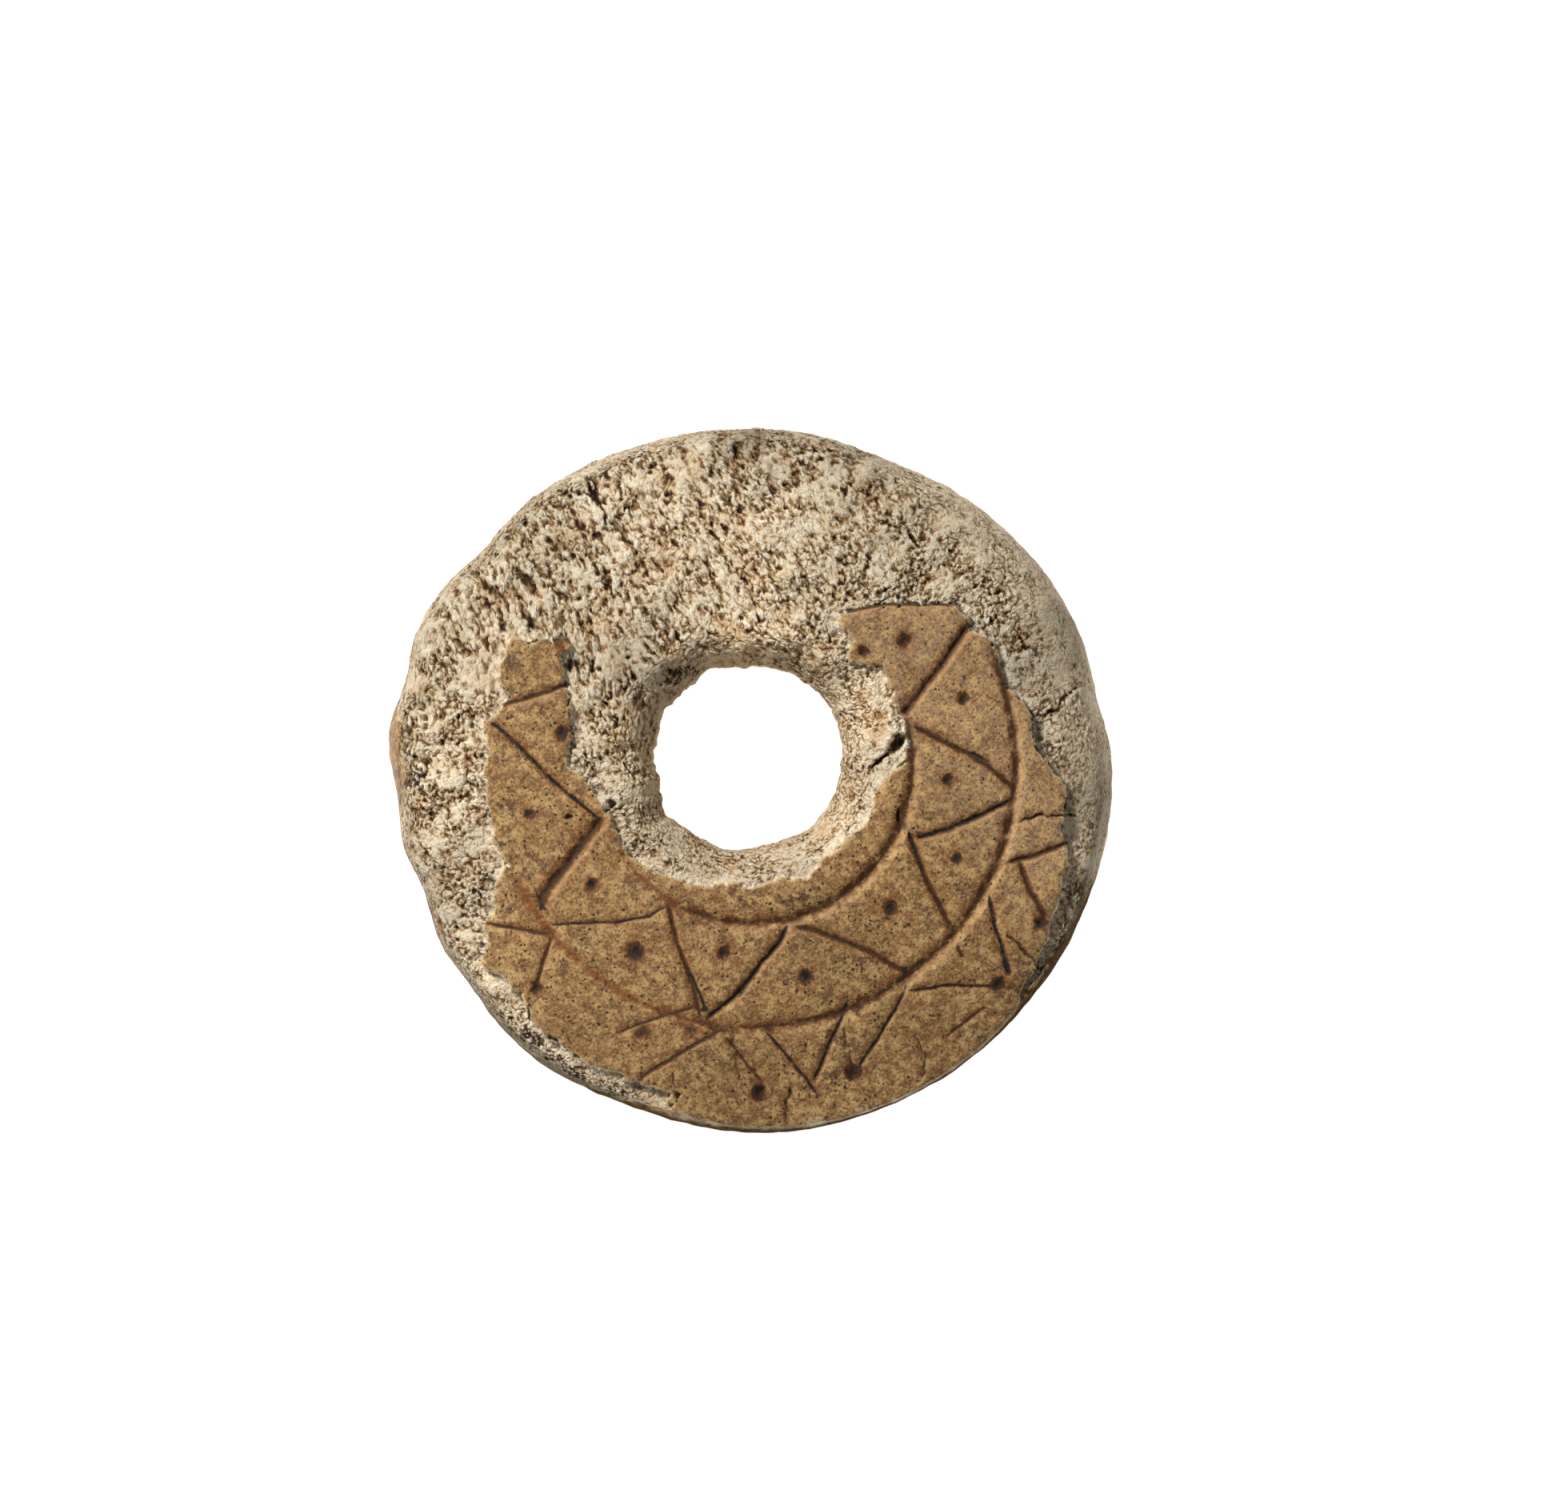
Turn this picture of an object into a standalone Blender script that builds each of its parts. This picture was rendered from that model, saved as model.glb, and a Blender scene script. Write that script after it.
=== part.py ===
"""A spindle whorl of bone: a low domed disc with a hole down its middle for the shaft.

Two rings and two bands of zigzag, with a drilled dot in most of their triangles, are cut into the
thin hard skin of the bone. A good part of that skin has spalled off and shows the spongy bone
under it, and the rim is worn back on one side.

Lengths are in metres and angles in degrees, counter-clockwise from +X seen from above. The flat
underside lies at z = 0 and +Z points out of the carved face. The origin is the middle of the
outline, so the hole, which the worn rim leaves off centre, is placed from the outline's own box.
"""

import math
import random

import bmesh
import bpy

MM = 0.001

# Disc: radii are from the axis of the hole, wear is (angle, half width, depth in mm).
RIM_R = 23.4 * MM
CROWN_H = 12.8 * MM
DOME_DROP = 2.3 * MM
WIDEST_H = 5.2 * MM
SHOULDER_INSET = 1.2 * MM
SHOULDER_WEAR = ((20.0, 80.0, 1.40), (175.0, 50.0, 0.60))
FOOT_INSET = 3.4 * MM

# Wear of the rim: most of it on the +Y side, and dents.
WORN_SIDE = 90.0
WORN_DEPTH = 2.7 * MM
WORN_SHARPNESS = 2.0
RIM_DENTS = (
    (66.0, 16.0, 0.30),
    (140.0, 10.0, 0.30),
    (167.0, 8.0, 0.38),
    (186.0, 11.0, 0.45),
    (203.0, 24.0, 1.10),
    (218.0, 10.0, 0.30),
    (249.0, 28.0, 0.42),
)

# Hole: its wall, what wear has added to it, and the funnels at its two mouths.
BORE_R = 5.9 * MM
BORE_WEAR = ((32.0, 30.0, 0.25), (112.0, 12.0, 0.20), (210.0, 14.0, 0.35), (285.0, 30.0, -0.40))
FUNNEL_W = 2.0 * MM
FUNNEL_H = 3.4 * MM
FUNNEL_WEAR = ((8.0, 60.0, 1.50), (150.0, 50.0, 0.60))
MOUTH_BEVEL = 0.8 * MM

# Carved face: two rings about a centre a little off the hole's axis.
RINGS_OFF_AXIS = (0.35 * MM, -0.35 * MM)
INNER_RING_MARGIN = 4.1 * MM
OUTER_RING_MARGIN = 6.9 * MM
BORDER = 1.2 * MM
RING_W = 0.75 * MM
RING_DEPTH = 0.32 * MM
RING_SPANS = ((15.0, -157.0, 0.0), (28.0, -156.0, 1.0))

# Zigzag strokes as (angle, band, angle, band): band 0 is the inner ring, 1 the outer, 2 the border.
STROKE_W = 0.5 * MM
STROKE_DEPTH = 0.3 * MM
INNER_ZIGZAG = (
    (166.8, 0.95, 157.4, 0.43),
    (170.8, 1.03, 199.8, 0.03),
    (199.4, 0.01, 212.1, 0.88),
    (218.6, 0.94, 238.5, 0.07),
    (239.0, 0.06, 258.6, 0.98),
    (251.8, 0.53, 259.4, 0.89),
    (281.5, 0.05, 259.6, 0.94),
    (283.4, 0.05, 305.8, 0.94),
    (336.3, 0.09, 320.0, 0.95),
    (335.7, 0.18, 352.5, 0.99),
    (13.6, 0.03, 354.3, 1.01),
    (33.0, 0.92, 18.4, -0.03),
    (58.0, 0.20, 38.1, 0.94),
)
OUTER_ZIGZAG = (
    (210.7, 1.52, 220.0, 1.01),
    (220.8, 1.04, 225.3, 1.50),
    (243.1, 1.40, 256.3, 0.96),
    (263.8, 1.01, 249.8, 1.81),
    (264.3, 1.12, 271.2, 1.57),
    (272.7, 1.05, 281.0, 1.79),
    (290.4, 0.98, 280.9, 1.63),
    (305.6, 1.02, 289.2, 1.62),
    (304.7, 1.12, 317.6, 1.72),
    (330.5, 1.07, 320.5, 1.76),
    (339.9, 1.22, 332.3, 1.74),
    (339.1, 1.11, 346.0, 1.66),
)

# Drilled dots as (angle, band), all of one size but for the two wide ones.
DOT_R = 0.36 * MM
DOT_DEPTH = 0.45 * MM
DOT_SIDES = 8
DOTS = (
    (39.2, 0.34),
    (17.4, 0.57),
    (355.5, 0.34),
    (335.2, 0.61),
    (313.7, 0.37),
    (284.4, 0.57),
    (260.9, 0.31),
    (216.7, 0.39),
    (192.5, 0.67),
    (170.7, 0.32),
    (271.0, 1.71),
    (287.9, 1.66),
    (317.9, 1.71),
    (331.2, 1.70),
    (225.6, 1.53),
)
WIDE_DOT_R = 0.52 * MM
WIDE_DOTS = ((237.8, 0.58), (147.3, 0.67))

# Surviving skin: (angle, band of its inner edge, band of its outer edge), going round clockwise.
SKIN_EDGES = (
    (57.0, 0.02, 0.14),
    (51.0, -0.05, 0.45),
    (42.0, -0.34, 0.77),
    (33.0, -0.10, 0.93),
    (15.0, -0.10, 1.08),
    (6.0, -0.10, 1.22),
    (-3.0, -0.77, 1.50),
    (-12.0, -1.00, 1.58),
    (-30.0, -1.00, 1.84),
    (-40.0, -1.15, 2.00),
    (-50.0, -1.22, 2.60),
    (-90.0, -1.14, 2.60),
    (-98.0, -1.12, 2.10),
    (-104.0, -1.08, 1.85),
    (-129.0, -0.51, 1.82),
    (-147.0, -0.20, 1.59),
    (-156.0, -0.20, 1.14),
    (-171.0, 0.00, 1.06),
    (-183.0, 0.26, 1.04),
    (-192.0, 0.25, 1.00),
    (-201.0, 0.39, 1.08),
    (-209.0, 0.56, 0.90),
    (-213.0, 0.64, 0.72),
)
SKIN_RAGGED = 0.13 * MM

# Spall: how far the broken surface lies below the skin, at its edge and more at the worn rim.
SPALL_STEP = 0.4 * MM
SPALL_FALL = 1.1 * MM
LUMP_H = 0.16 * MM
LUMP_SPACING = 3.6 * MM

# Open cells and cracks in the spongy bone: (angle, band, radius in mm) and
# (angle, band, angle, band, width in mm). Both are cut to one depth under the dome.
HOLLOW_DEPTH = 1.5 * MM
HOLLOWS = ((7.8, -0.30, 0.60), (151.5, 0.43, 0.60), (197.0, 0.25, 0.35), (140.5, 1.30, 0.85))
CRACKS = (
    (140.3, 1.70, 141.6, 0.95, 0.90),
    (120.2, 1.75, 125.9, 0.92, 0.60),
    (13.6, 1.80, 9.5, 1.25, 0.45),
    (7.5, -0.45, 1.0, -1.10, 0.35),
)

# Fineness of the mesh, and how far a cutter reaches past what it cuts.
STATIONS = 72
FLANK_STEPS = 4
DOME_STEPS = 5
FLOOR_STEPS = 11
STEP_ANGLE = 360.0 / STATIONS
REACH = 1.5 * MM
LIFT = 0.35 * MM
END_TAPER = 0.45


def clear_scene():
    """Remove what the startup file holds."""
    for obj in list(bpy.data.objects):
        bpy.data.objects.remove(obj)


def bump(angle, centre, half_width):
    """A smooth rise to 1 at the centre angle that is 0 beyond the half width."""
    away = (angle - centre + 180.0) % 360.0 - 180.0
    if abs(away) >= half_width:
        return 0.0
    return 0.5 + 0.5 * math.cos(math.pi * away / half_width)


def bumps(angle, rows):
    """The sum of bumps whose heights are given in millimetres."""
    return sum(height * MM * bump(angle, centre, half) for centre, half, height in rows)


def toward_worn_side(angle):
    """1 on the worn side of the rim, 0 on the side across from it."""
    return 0.5 + 0.5 * math.cos(math.radians(angle - WORN_SIDE))


def rim_radius(angle):
    """Radius of the outline as it survives."""
    return RIM_R - WORN_DEPTH * toward_worn_side(angle) ** WORN_SHARPNESS - bumps(angle, RIM_DENTS)


def bore_radius(angle):
    """Radius of the hole's wall."""
    return BORE_R + bumps(angle, BORE_WEAR)


def lip_radius(angle):
    """Radius at which the upper funnel meets the dome."""
    return bore_radius(angle) + FUNNEL_W + bumps(angle, FUNNEL_WEAR)


def dome_height(radius):
    """Height of the unbroken face, a shallow bowl turned over."""
    return CROWN_H - DOME_DROP * (radius / RIM_R) ** 2


def polar(radius, angle, height):
    """A point from its radius and angle about the hole's axis."""
    turn = math.radians(angle)
    return (radius * math.cos(turn), radius * math.sin(turn), height)


def face_radius(band):
    """Radius of a band of the carved face about the centre of the rings."""
    knots = (
        (-1.0, BORE_R + FUNNEL_W),
        (0.0, BORE_R + INNER_RING_MARGIN),
        (1.0, RIM_R - OUTER_RING_MARGIN),
        (2.0, RIM_R - BORDER),
    )
    below = max(0, min(len(knots) - 2, int(math.floor(band)) + 1))
    (low, low_radius), (high, high_radius) = knots[below], knots[below + 1]
    return low_radius + (high_radius - low_radius) * (band - low) / (high - low)


def on_face(angle, band, out=0.0):
    """Plan position of a place on the carved face, from the hole's axis."""
    turn = math.radians(angle)
    radius = face_radius(band) + out
    return (
        RINGS_OFF_AXIS[0] + radius * math.cos(turn),
        RINGS_OFF_AXIS[1] + radius * math.sin(turn),
    )


def between(start, end, share):
    """The number or the plan position at a share of the way from start to end."""
    if isinstance(start, tuple):
        return tuple(a + (b - a) * share for a, b in zip(start, end))
    return start + (end - start) * share


def seat():
    """Where the hole's axis stands, so that the outline's box is centred on the origin."""
    rim = [polar(rim_radius(i * STEP_ANGLE), i * STEP_ANGLE, 0.0) for i in range(STATIONS)]
    spans = [[point[axis] for point in rim] for axis in (0, 1)]
    return tuple(-(min(span) + max(span)) / 2.0 for span in spans) + (0.0,)


def bone_material():
    """Aged bone, dull and yellow-brown."""
    material = bpy.data.materials.new("Bone")
    material.use_nodes = True
    shader = material.node_tree.nodes["Principled BSDF"]
    shader.inputs["Base Color"].default_value = (0.40, 0.27, 0.15, 1.0)
    shader.inputs["Roughness"].default_value = 0.6
    shader.inputs["Metallic"].default_value = 0.0
    return material


def lofted(name, sections, closed):
    """An object whose skin joins equal sections of points, ended by caps unless it closes on itself."""
    mesh = bmesh.new()
    rows = [[mesh.verts.new(point) for point in section] for section in sections]
    pairs = list(zip(rows, rows[1:]))
    if closed:
        pairs.append((rows[-1], rows[0]))
    for row, following in pairs:
        for i in range(len(row)):
            j = (i + 1) % len(row)
            mesh.faces.new((row[i], row[j], following[j], following[i]))
    if not closed:
        mesh.faces.new(list(reversed(rows[0])))
        mesh.faces.new(rows[-1])
    bmesh.ops.recalc_face_normals(mesh, faces=mesh.faces)
    if mesh.calc_volume(signed=True) < 0.0:
        bmesh.ops.reverse_faces(mesh, faces=mesh.faces)
    data = bpy.data.meshes.new(name)
    mesh.to_mesh(data)
    mesh.free()
    obj = bpy.data.objects.new(name, data)
    bpy.context.collection.objects.link(obj)
    return obj


def hidden(obj):
    """Mark a cutter, so that it shows as wire and never in a render."""
    obj.hide_render = True
    obj.display_type = "WIRE"
    return obj


def disc_section(angle):
    """The outline of the disc's section at one angle, from the foot up and round to the hole."""
    rim = rim_radius(angle)
    bore = bore_radius(angle)
    lip = lip_radius(angle)
    inset = SHOULDER_INSET + bumps(angle, SHOULDER_WEAR)
    shoulder = rim - inset
    rise = dome_height(shoulder) - WIDEST_H
    points = []
    for i in range(FLANK_STEPS):
        turn = math.radians(90.0 * i / FLANK_STEPS)
        points.append((rim - FOOT_INSET * (1.0 - math.sin(turn)), WIDEST_H * (1.0 - math.cos(turn))))
    for i in range(FLANK_STEPS):
        turn = math.radians(90.0 * i / FLANK_STEPS)
        points.append((rim - inset * (1.0 - math.cos(turn)), WIDEST_H + rise * math.sin(turn)))
    for i in range(DOME_STEPS + 1):
        radius = between(shoulder, lip, i / DOME_STEPS)
        points.append((radius, dome_height(radius)))
    throat_h = dome_height(lip) - FUNNEL_H
    points.append((between(bore, lip, 0.45), between(throat_h, dome_height(lip), 0.62)))
    points.append((bore, throat_h))
    points.append((bore, MOUTH_BEVEL))
    points.append((bore + MOUTH_BEVEL, 0.0))
    return points


def disc():
    """The unbroken, uncarved disc with its hole."""
    angles = [i * STEP_ANGLE for i in range(STATIONS)]
    sections = [[polar(r, angle, z) for r, z in disc_section(angle)] for angle in angles]
    return lofted("whorl", sections, closed=True)


def spall_floor(radius, angle):
    """Height of the broken surface where the skin is gone."""
    x, y, _ = polar(radius, angle, 0.0)
    wave = 2.0 * math.pi / LUMP_SPACING
    lumps = math.sin(wave * x + 1.3) * math.cos(0.83 * wave * y) + 0.6 * math.sin(wave * (0.6 * x - y))
    fall = SPALL_FALL * (radius / RIM_R) ** 3 * (0.4 + 0.6 * toward_worn_side(angle))
    return dome_height(radius) - SPALL_STEP - fall + LUMP_H * lumps


def spall():
    """The layer lost all over the face, as a lid whose underside is the broken surface."""
    top = CROWN_H + REACH
    outer = RIM_R + REACH
    inner = BORE_R / 2.0
    sections = []
    for i in range(STATIONS):
        angle = (i + 0.5) * STEP_ANGLE
        section = [polar(inner, angle, top)]
        for j in range(FLOOR_STEPS + 1):
            radius = between(inner, outer, j / FLOOR_STEPS)
            section.append(polar(radius, angle, spall_floor(radius, angle)))
        section.append(polar(outer, angle, top))
        sections.append(section)
    return hidden(lofted("spall", sections, closed=True))


def kept_skin():
    """An upright block over the surviving skin, which keeps the spall away from it."""
    ragged = random.Random(4)
    low, high = WIDEST_H, CROWN_H + 2.0 * REACH
    sections = []
    for (angle, inner, outer), (next_angle, next_inner, next_outer) in zip(SKIN_EDGES, SKIN_EDGES[1:]):
        steps = max(1, round(abs(next_angle - angle) / STEP_ANGLE))
        for i in range(steps):
            share = i / steps
            turn = between(angle, next_angle, share)
            frays = [ragged.uniform(-SKIN_RAGGED, SKIN_RAGGED) for _ in range(2)]
            inside = on_face(turn, between(inner, next_inner, share), frays[0])
            outside = on_face(turn, between(outer, next_outer, share), frays[1])
            sections.append([(*inside, low), (*outside, low), (*outside, high), (*inside, high)])
    angle, inner, outer = SKIN_EDGES[-1]
    inside, outside = on_face(angle, inner), on_face(angle, outer)
    sections.append([(*inside, low), (*outside, low), (*outside, high), (*inside, high)])
    return hidden(lofted("kept_skin", sections, closed=False))


def groove(name, path, width, depth):
    """A V-shaped cut that follows the dome along plan positions, and is slighter at both ends."""
    sections = []
    for i, (x, y) in enumerate(path):
        before, after = path[max(i - 1, 0)], path[min(i + 1, len(path) - 1)]
        length = math.hypot(after[0] - before[0], after[1] - before[1])
        side = (-(after[1] - before[1]) / length, (after[0] - before[0]) / length)
        size = END_TAPER if i in (0, len(path) - 1) else 1.0
        half = size * width / 2.0 * (1.0 + LIFT / depth)
        surface = dome_height(math.hypot(x, y))
        sections.append(
            [
                (x + side[0] * half, y + side[1] * half, surface + LIFT),
                (x - side[0] * half, y - side[1] * half, surface + LIFT),
                (x, y, surface - size * depth),
            ]
        )
    return hidden(lofted(name, sections, closed=False))


def ring_groove(name, start, end, band):
    """The part of a ring that survives, from one angle to the other."""
    steps = round(abs(end - start) / STEP_ANGLE)
    path = [on_face(between(start, end, i / steps), band) for i in range(steps + 1)]
    return groove(name, path, RING_W, RING_DEPTH)


def stroke(name, ends, width, depth):
    """A straight cut between two places on the face."""
    start, end = on_face(*ends[:2]), on_face(*ends[2:])
    path = [between(start, end, share) for share in (0.0, 0.15, 0.5, 0.85, 1.0)]
    return groove(name, path, width, depth)


def pit(name, angle, band, radius, depth):
    """A round hollow that narrows to half its width at the bottom."""
    x, y = on_face(angle, band)
    surface = dome_height(math.hypot(x, y))
    levels = ((1.0 + LIFT / (2.0 * depth), LIFT), (1.0, 0.0), (0.5, -depth))
    sections = []
    for size, height in levels:
        corners = [i * 360.0 / DOT_SIDES for i in range(DOT_SIDES)]
        ring = [polar(size * radius, corner, surface + height) for corner in corners]
        sections.append([(x + px, y + py, z) for px, py, z in ring])
    return hidden(lofted(name, sections, closed=False))


def carving():
    """Every cut made in the skin, and the hollows and cracks of the bone."""
    cuts = [ring_groove(f"ring_{i}", *span) for i, span in enumerate(RING_SPANS)]
    for i, ends in enumerate(INNER_ZIGZAG + OUTER_ZIGZAG):
        cuts.append(stroke(f"stroke_{i}", ends, STROKE_W, STROKE_DEPTH))
    for i, (angle, band) in enumerate(DOTS):
        cuts.append(pit(f"dot_{i}", angle, band, DOT_R, DOT_DEPTH))
    for i, (angle, band) in enumerate(WIDE_DOTS):
        cuts.append(pit(f"wide_dot_{i}", angle, band, WIDE_DOT_R, DOT_DEPTH))
    for i, (angle, band, radius) in enumerate(HOLLOWS):
        cuts.append(pit(f"hollow_{i}", angle, band, radius * MM, HOLLOW_DEPTH))
    for i, (*ends, width) in enumerate(CRACKS):
        cuts.append(stroke(f"crack_{i}", ends, width * MM, HOLLOW_DEPTH))
    return cuts


def gathered(name, objects):
    """A collection of the objects, so that one Boolean cuts with them all."""
    group = bpy.data.collections.new(name)
    bpy.context.scene.collection.children.link(group)
    for obj in objects:
        group.objects.link(obj)
        bpy.context.collection.objects.unlink(obj)
    return group


def cut(obj, name, cutter=None, group=None):
    """Take a cutter, or a whole collection of them, away from an object."""
    modifier = obj.modifiers.new(name, "BOOLEAN")
    modifier.operation = "DIFFERENCE"
    modifier.solver = "EXACT"
    if group is None:
        modifier.object = cutter
    else:
        modifier.operand_type = "COLLECTION"
        modifier.collection = group


def main():
    """Build the whorl and place it."""
    clear_scene()
    whorl = disc()
    whorl.data.materials.append(bone_material())
    whorl.data.shade_smooth()
    whorl.data.set_sharp_from_angle(angle=math.radians(35.0))
    skin = kept_skin()
    lost = spall()
    cuts = carving()
    cut(lost, "leave the skin", cutter=skin)
    cut(whorl, "spall", cutter=lost)
    cut(whorl, "carving", group=gathered("carving", cuts))
    whorl.location = seat()
    for helper in (skin, lost, *cuts):
        helper.parent = whorl


main()
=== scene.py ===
"""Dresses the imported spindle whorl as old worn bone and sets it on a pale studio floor.

The whorl is one sheet of points, angles round the hole by rows along its section, which closes on
itself both ways. Its surface is worked out in millimetres about the hole's axis, with +Y up in the
photograph's view and +Z out of the carved face, and is turned to metres in the part's frame last.
"""

import logging
import math
from dataclasses import dataclass
from enum import Enum, IntEnum

import bpy
import numpy as np
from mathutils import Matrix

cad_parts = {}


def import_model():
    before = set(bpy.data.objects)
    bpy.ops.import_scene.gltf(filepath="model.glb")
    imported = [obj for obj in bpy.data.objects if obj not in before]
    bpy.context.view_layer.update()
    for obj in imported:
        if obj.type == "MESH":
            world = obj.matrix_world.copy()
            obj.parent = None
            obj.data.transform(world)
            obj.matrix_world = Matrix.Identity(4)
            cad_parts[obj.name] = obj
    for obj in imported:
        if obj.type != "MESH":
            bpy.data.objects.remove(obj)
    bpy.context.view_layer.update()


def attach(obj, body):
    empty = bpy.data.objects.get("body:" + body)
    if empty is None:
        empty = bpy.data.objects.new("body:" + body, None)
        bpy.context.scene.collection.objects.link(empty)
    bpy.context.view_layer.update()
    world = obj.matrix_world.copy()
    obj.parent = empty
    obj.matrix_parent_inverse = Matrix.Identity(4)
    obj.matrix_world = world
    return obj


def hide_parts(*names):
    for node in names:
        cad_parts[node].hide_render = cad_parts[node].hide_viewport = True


MM = 0.001
SEED = 11

log = logging.getLogger("whorl")


# Small tools: colour, easing and noise.


def linear(code: str, alpha: float = 1.0) -> tuple[float, float, float, float]:
    """Turns an sRGB hex colour to linear light.

    Args:
        code: the colour as "#rrggbb".
        alpha: the opacity that goes with it.

    Returns:
        Red, green, blue and alpha.
    """
    parts = (int(code[i : i + 2], 16) / 255.0 for i in (1, 3, 5))
    lit = (c / 12.92 if c <= 0.04045 else ((c + 0.055) / 1.055) ** 2.4 for c in parts)
    return (*lit, alpha)


def ease(low: float, high: float, value: np.ndarray) -> np.ndarray:
    """Rises from 0 at low to 1 at high along 3t^2 - 2t^3.

    Args:
        low: the value at which the rise starts.
        high: the value at which it ends; below low, the rise runs the other way.
        value: the values to ease.

    Returns:
        The eased values.
    """
    t = np.clip((value - low) / (high - low), 0.0, 1.0)
    return t * t * (3.0 - 2.0 * t)


def mixed(start: np.ndarray, end: np.ndarray, share: np.ndarray) -> np.ndarray:
    """The value a share of the way from start to end."""
    return start + (end - start) * share


def hashed(cells: tuple[np.ndarray, ...], seed: int) -> np.ndarray:
    """Scrambles whole-number places to 32-bit numbers.

    The coordinates are multiplied by large primes, joined by exclusive or, and mixed by two rounds
    of shift, exclusive or and multiply.

    Args:
        cells: one array of whole numbers for each axis.
        seed: which of the possible patterns to give.

    Returns:
        An array of uint32.
    """
    primes = (np.uint32(73856093), np.uint32(19349663), np.uint32(83492791))
    mix = np.uint32((seed * 2654435761 + 40503) & 0xFFFFFFFF)
    for cell, prime in zip(cells, primes):
        mix = mix ^ (cell.astype(np.int32).view(np.uint32) * prime)
    for shift, factor in ((16, np.uint32(0x7FEB352D)), (15, np.uint32(0x846CA68B))):
        mix = (mix ^ (mix >> np.uint32(shift))) * factor
    return mix ^ (mix >> np.uint32(16))


def unit(bits: np.ndarray, part: int = 0) -> np.ndarray:
    """One of two independent numbers from 0 to 1 held in the halves of each hash."""
    return ((bits >> np.uint32(16 * part)) & np.uint32(0xFFFF)).astype(np.float32) / 65535.0


def gradient_table(count: int = 256) -> np.ndarray:
    """Directions spread evenly over a sphere by the golden angle."""
    k = np.arange(count) + 0.5
    height = 1.0 - 2.0 * k / count
    turn = np.pi * (1.0 + 5.0**0.5) * k
    flat = np.sqrt(1.0 - height**2)
    return np.stack([flat * np.cos(turn), flat * np.sin(turn), height], 1).astype(np.float32)


DIRECTIONS = gradient_table()


def noise(points: np.ndarray, size: float, seed: int) -> np.ndarray:
    """Smooth noise, mostly between -1 and 1, with lumps of one size.

    Each corner of a cubic lattice holds a direction, and a point's value is the sum over its
    cell's eight corners of that direction's dot product with the way to the point, each faded
    by 6t^5 - 15t^4 + 10t^3 along every axis.

    Args:
        points: places, three coordinates in the last axis.
        size: edge of a lattice cell, in the same unit.
        seed: which pattern to give.

    Returns:
        One value for each point.
    """
    at = (points / size).astype(np.float32)
    base = np.floor(at)
    inside = at - base
    fade = inside**3 * (inside * (inside * 6.0 - 15.0) + 10.0)
    base = base.astype(np.int32)
    total = np.zeros(at.shape[:-1], np.float32)
    for corner in range(8):
        step = np.array([corner & 1, corner >> 1 & 1, corner >> 2 & 1], np.int32)
        cell = base + step
        way = DIRECTIONS[hashed((cell[..., 0], cell[..., 1], cell[..., 2]), seed) & np.uint32(255)]
        weight = np.prod(np.where(step, fade, 1.0 - fade), axis=-1)
        total += weight * np.sum(way * (inside - step), axis=-1)
    return total * 1.7


def fractal(points: np.ndarray, size: float, seed: int, octaves: int = 3, fall: float = 0.6) -> np.ndarray:
    """Sum of octaves of noise, each of half the size and fall times the height of the one before.

    Args:
        points: places in millimetres.
        size: feature size of the first octave.
        seed: seed of the first octave.
        octaves: how many are added.
        fall: height of each against the one before.

    Returns:
        The sum, mostly within -1 to 1.
    """
    total = np.zeros(points.shape[:-1], np.float32)
    for step in range(octaves):
        total += fall**step * noise(points, size / 2.0**step, seed + step)
    return total


def grain(
    plan: np.ndarray, along: np.ndarray, size: float, narrow: float, stretch: float, seed: int
) -> np.ndarray:
    """Noise of small streaks that lie along a given direction at each place.

    Every square cell holds one streak, a bell-shaped bump or dent that is longer along the
    direction than across it. A place's value is the sum of the streaks of the 25 cells around it.

    Args:
        plan: places, two coordinates in the last axis.
        along: unit direction of the streaks at each place.
        size: edge of a cell, which is about the spacing of the streaks.
        narrow: half a streak's width as a share of the cell.
        stretch: how much longer a streak is than wide.
        seed: which pattern to give.

    Returns:
        One value for each place, with a spread of about 1.
    """
    at = (plan / size).astype(np.float32)
    base = np.floor(at).astype(np.int32)
    total = np.zeros(at.shape[:-1], np.float32)
    for i in range(-2, 3):
        for j in range(-2, 3):
            cell = (base[..., 0] + i, base[..., 1] + j)
            bits, more = hashed(cell, seed), hashed(cell, seed + 97)
            x = at[..., 0] - cell[0] - unit(bits)
            y = at[..., 1] - cell[1] - unit(bits, 1)
            lengthwise = (x * along[..., 0] + y * along[..., 1]) / stretch
            across = y * along[..., 0] - x * along[..., 1]
            bell = np.exp(-(lengthwise**2 + across**2) / (2.0 * narrow**2))
            total += (2.0 * unit(more) - 1.0) * 2.2 * bell
    return total


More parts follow.
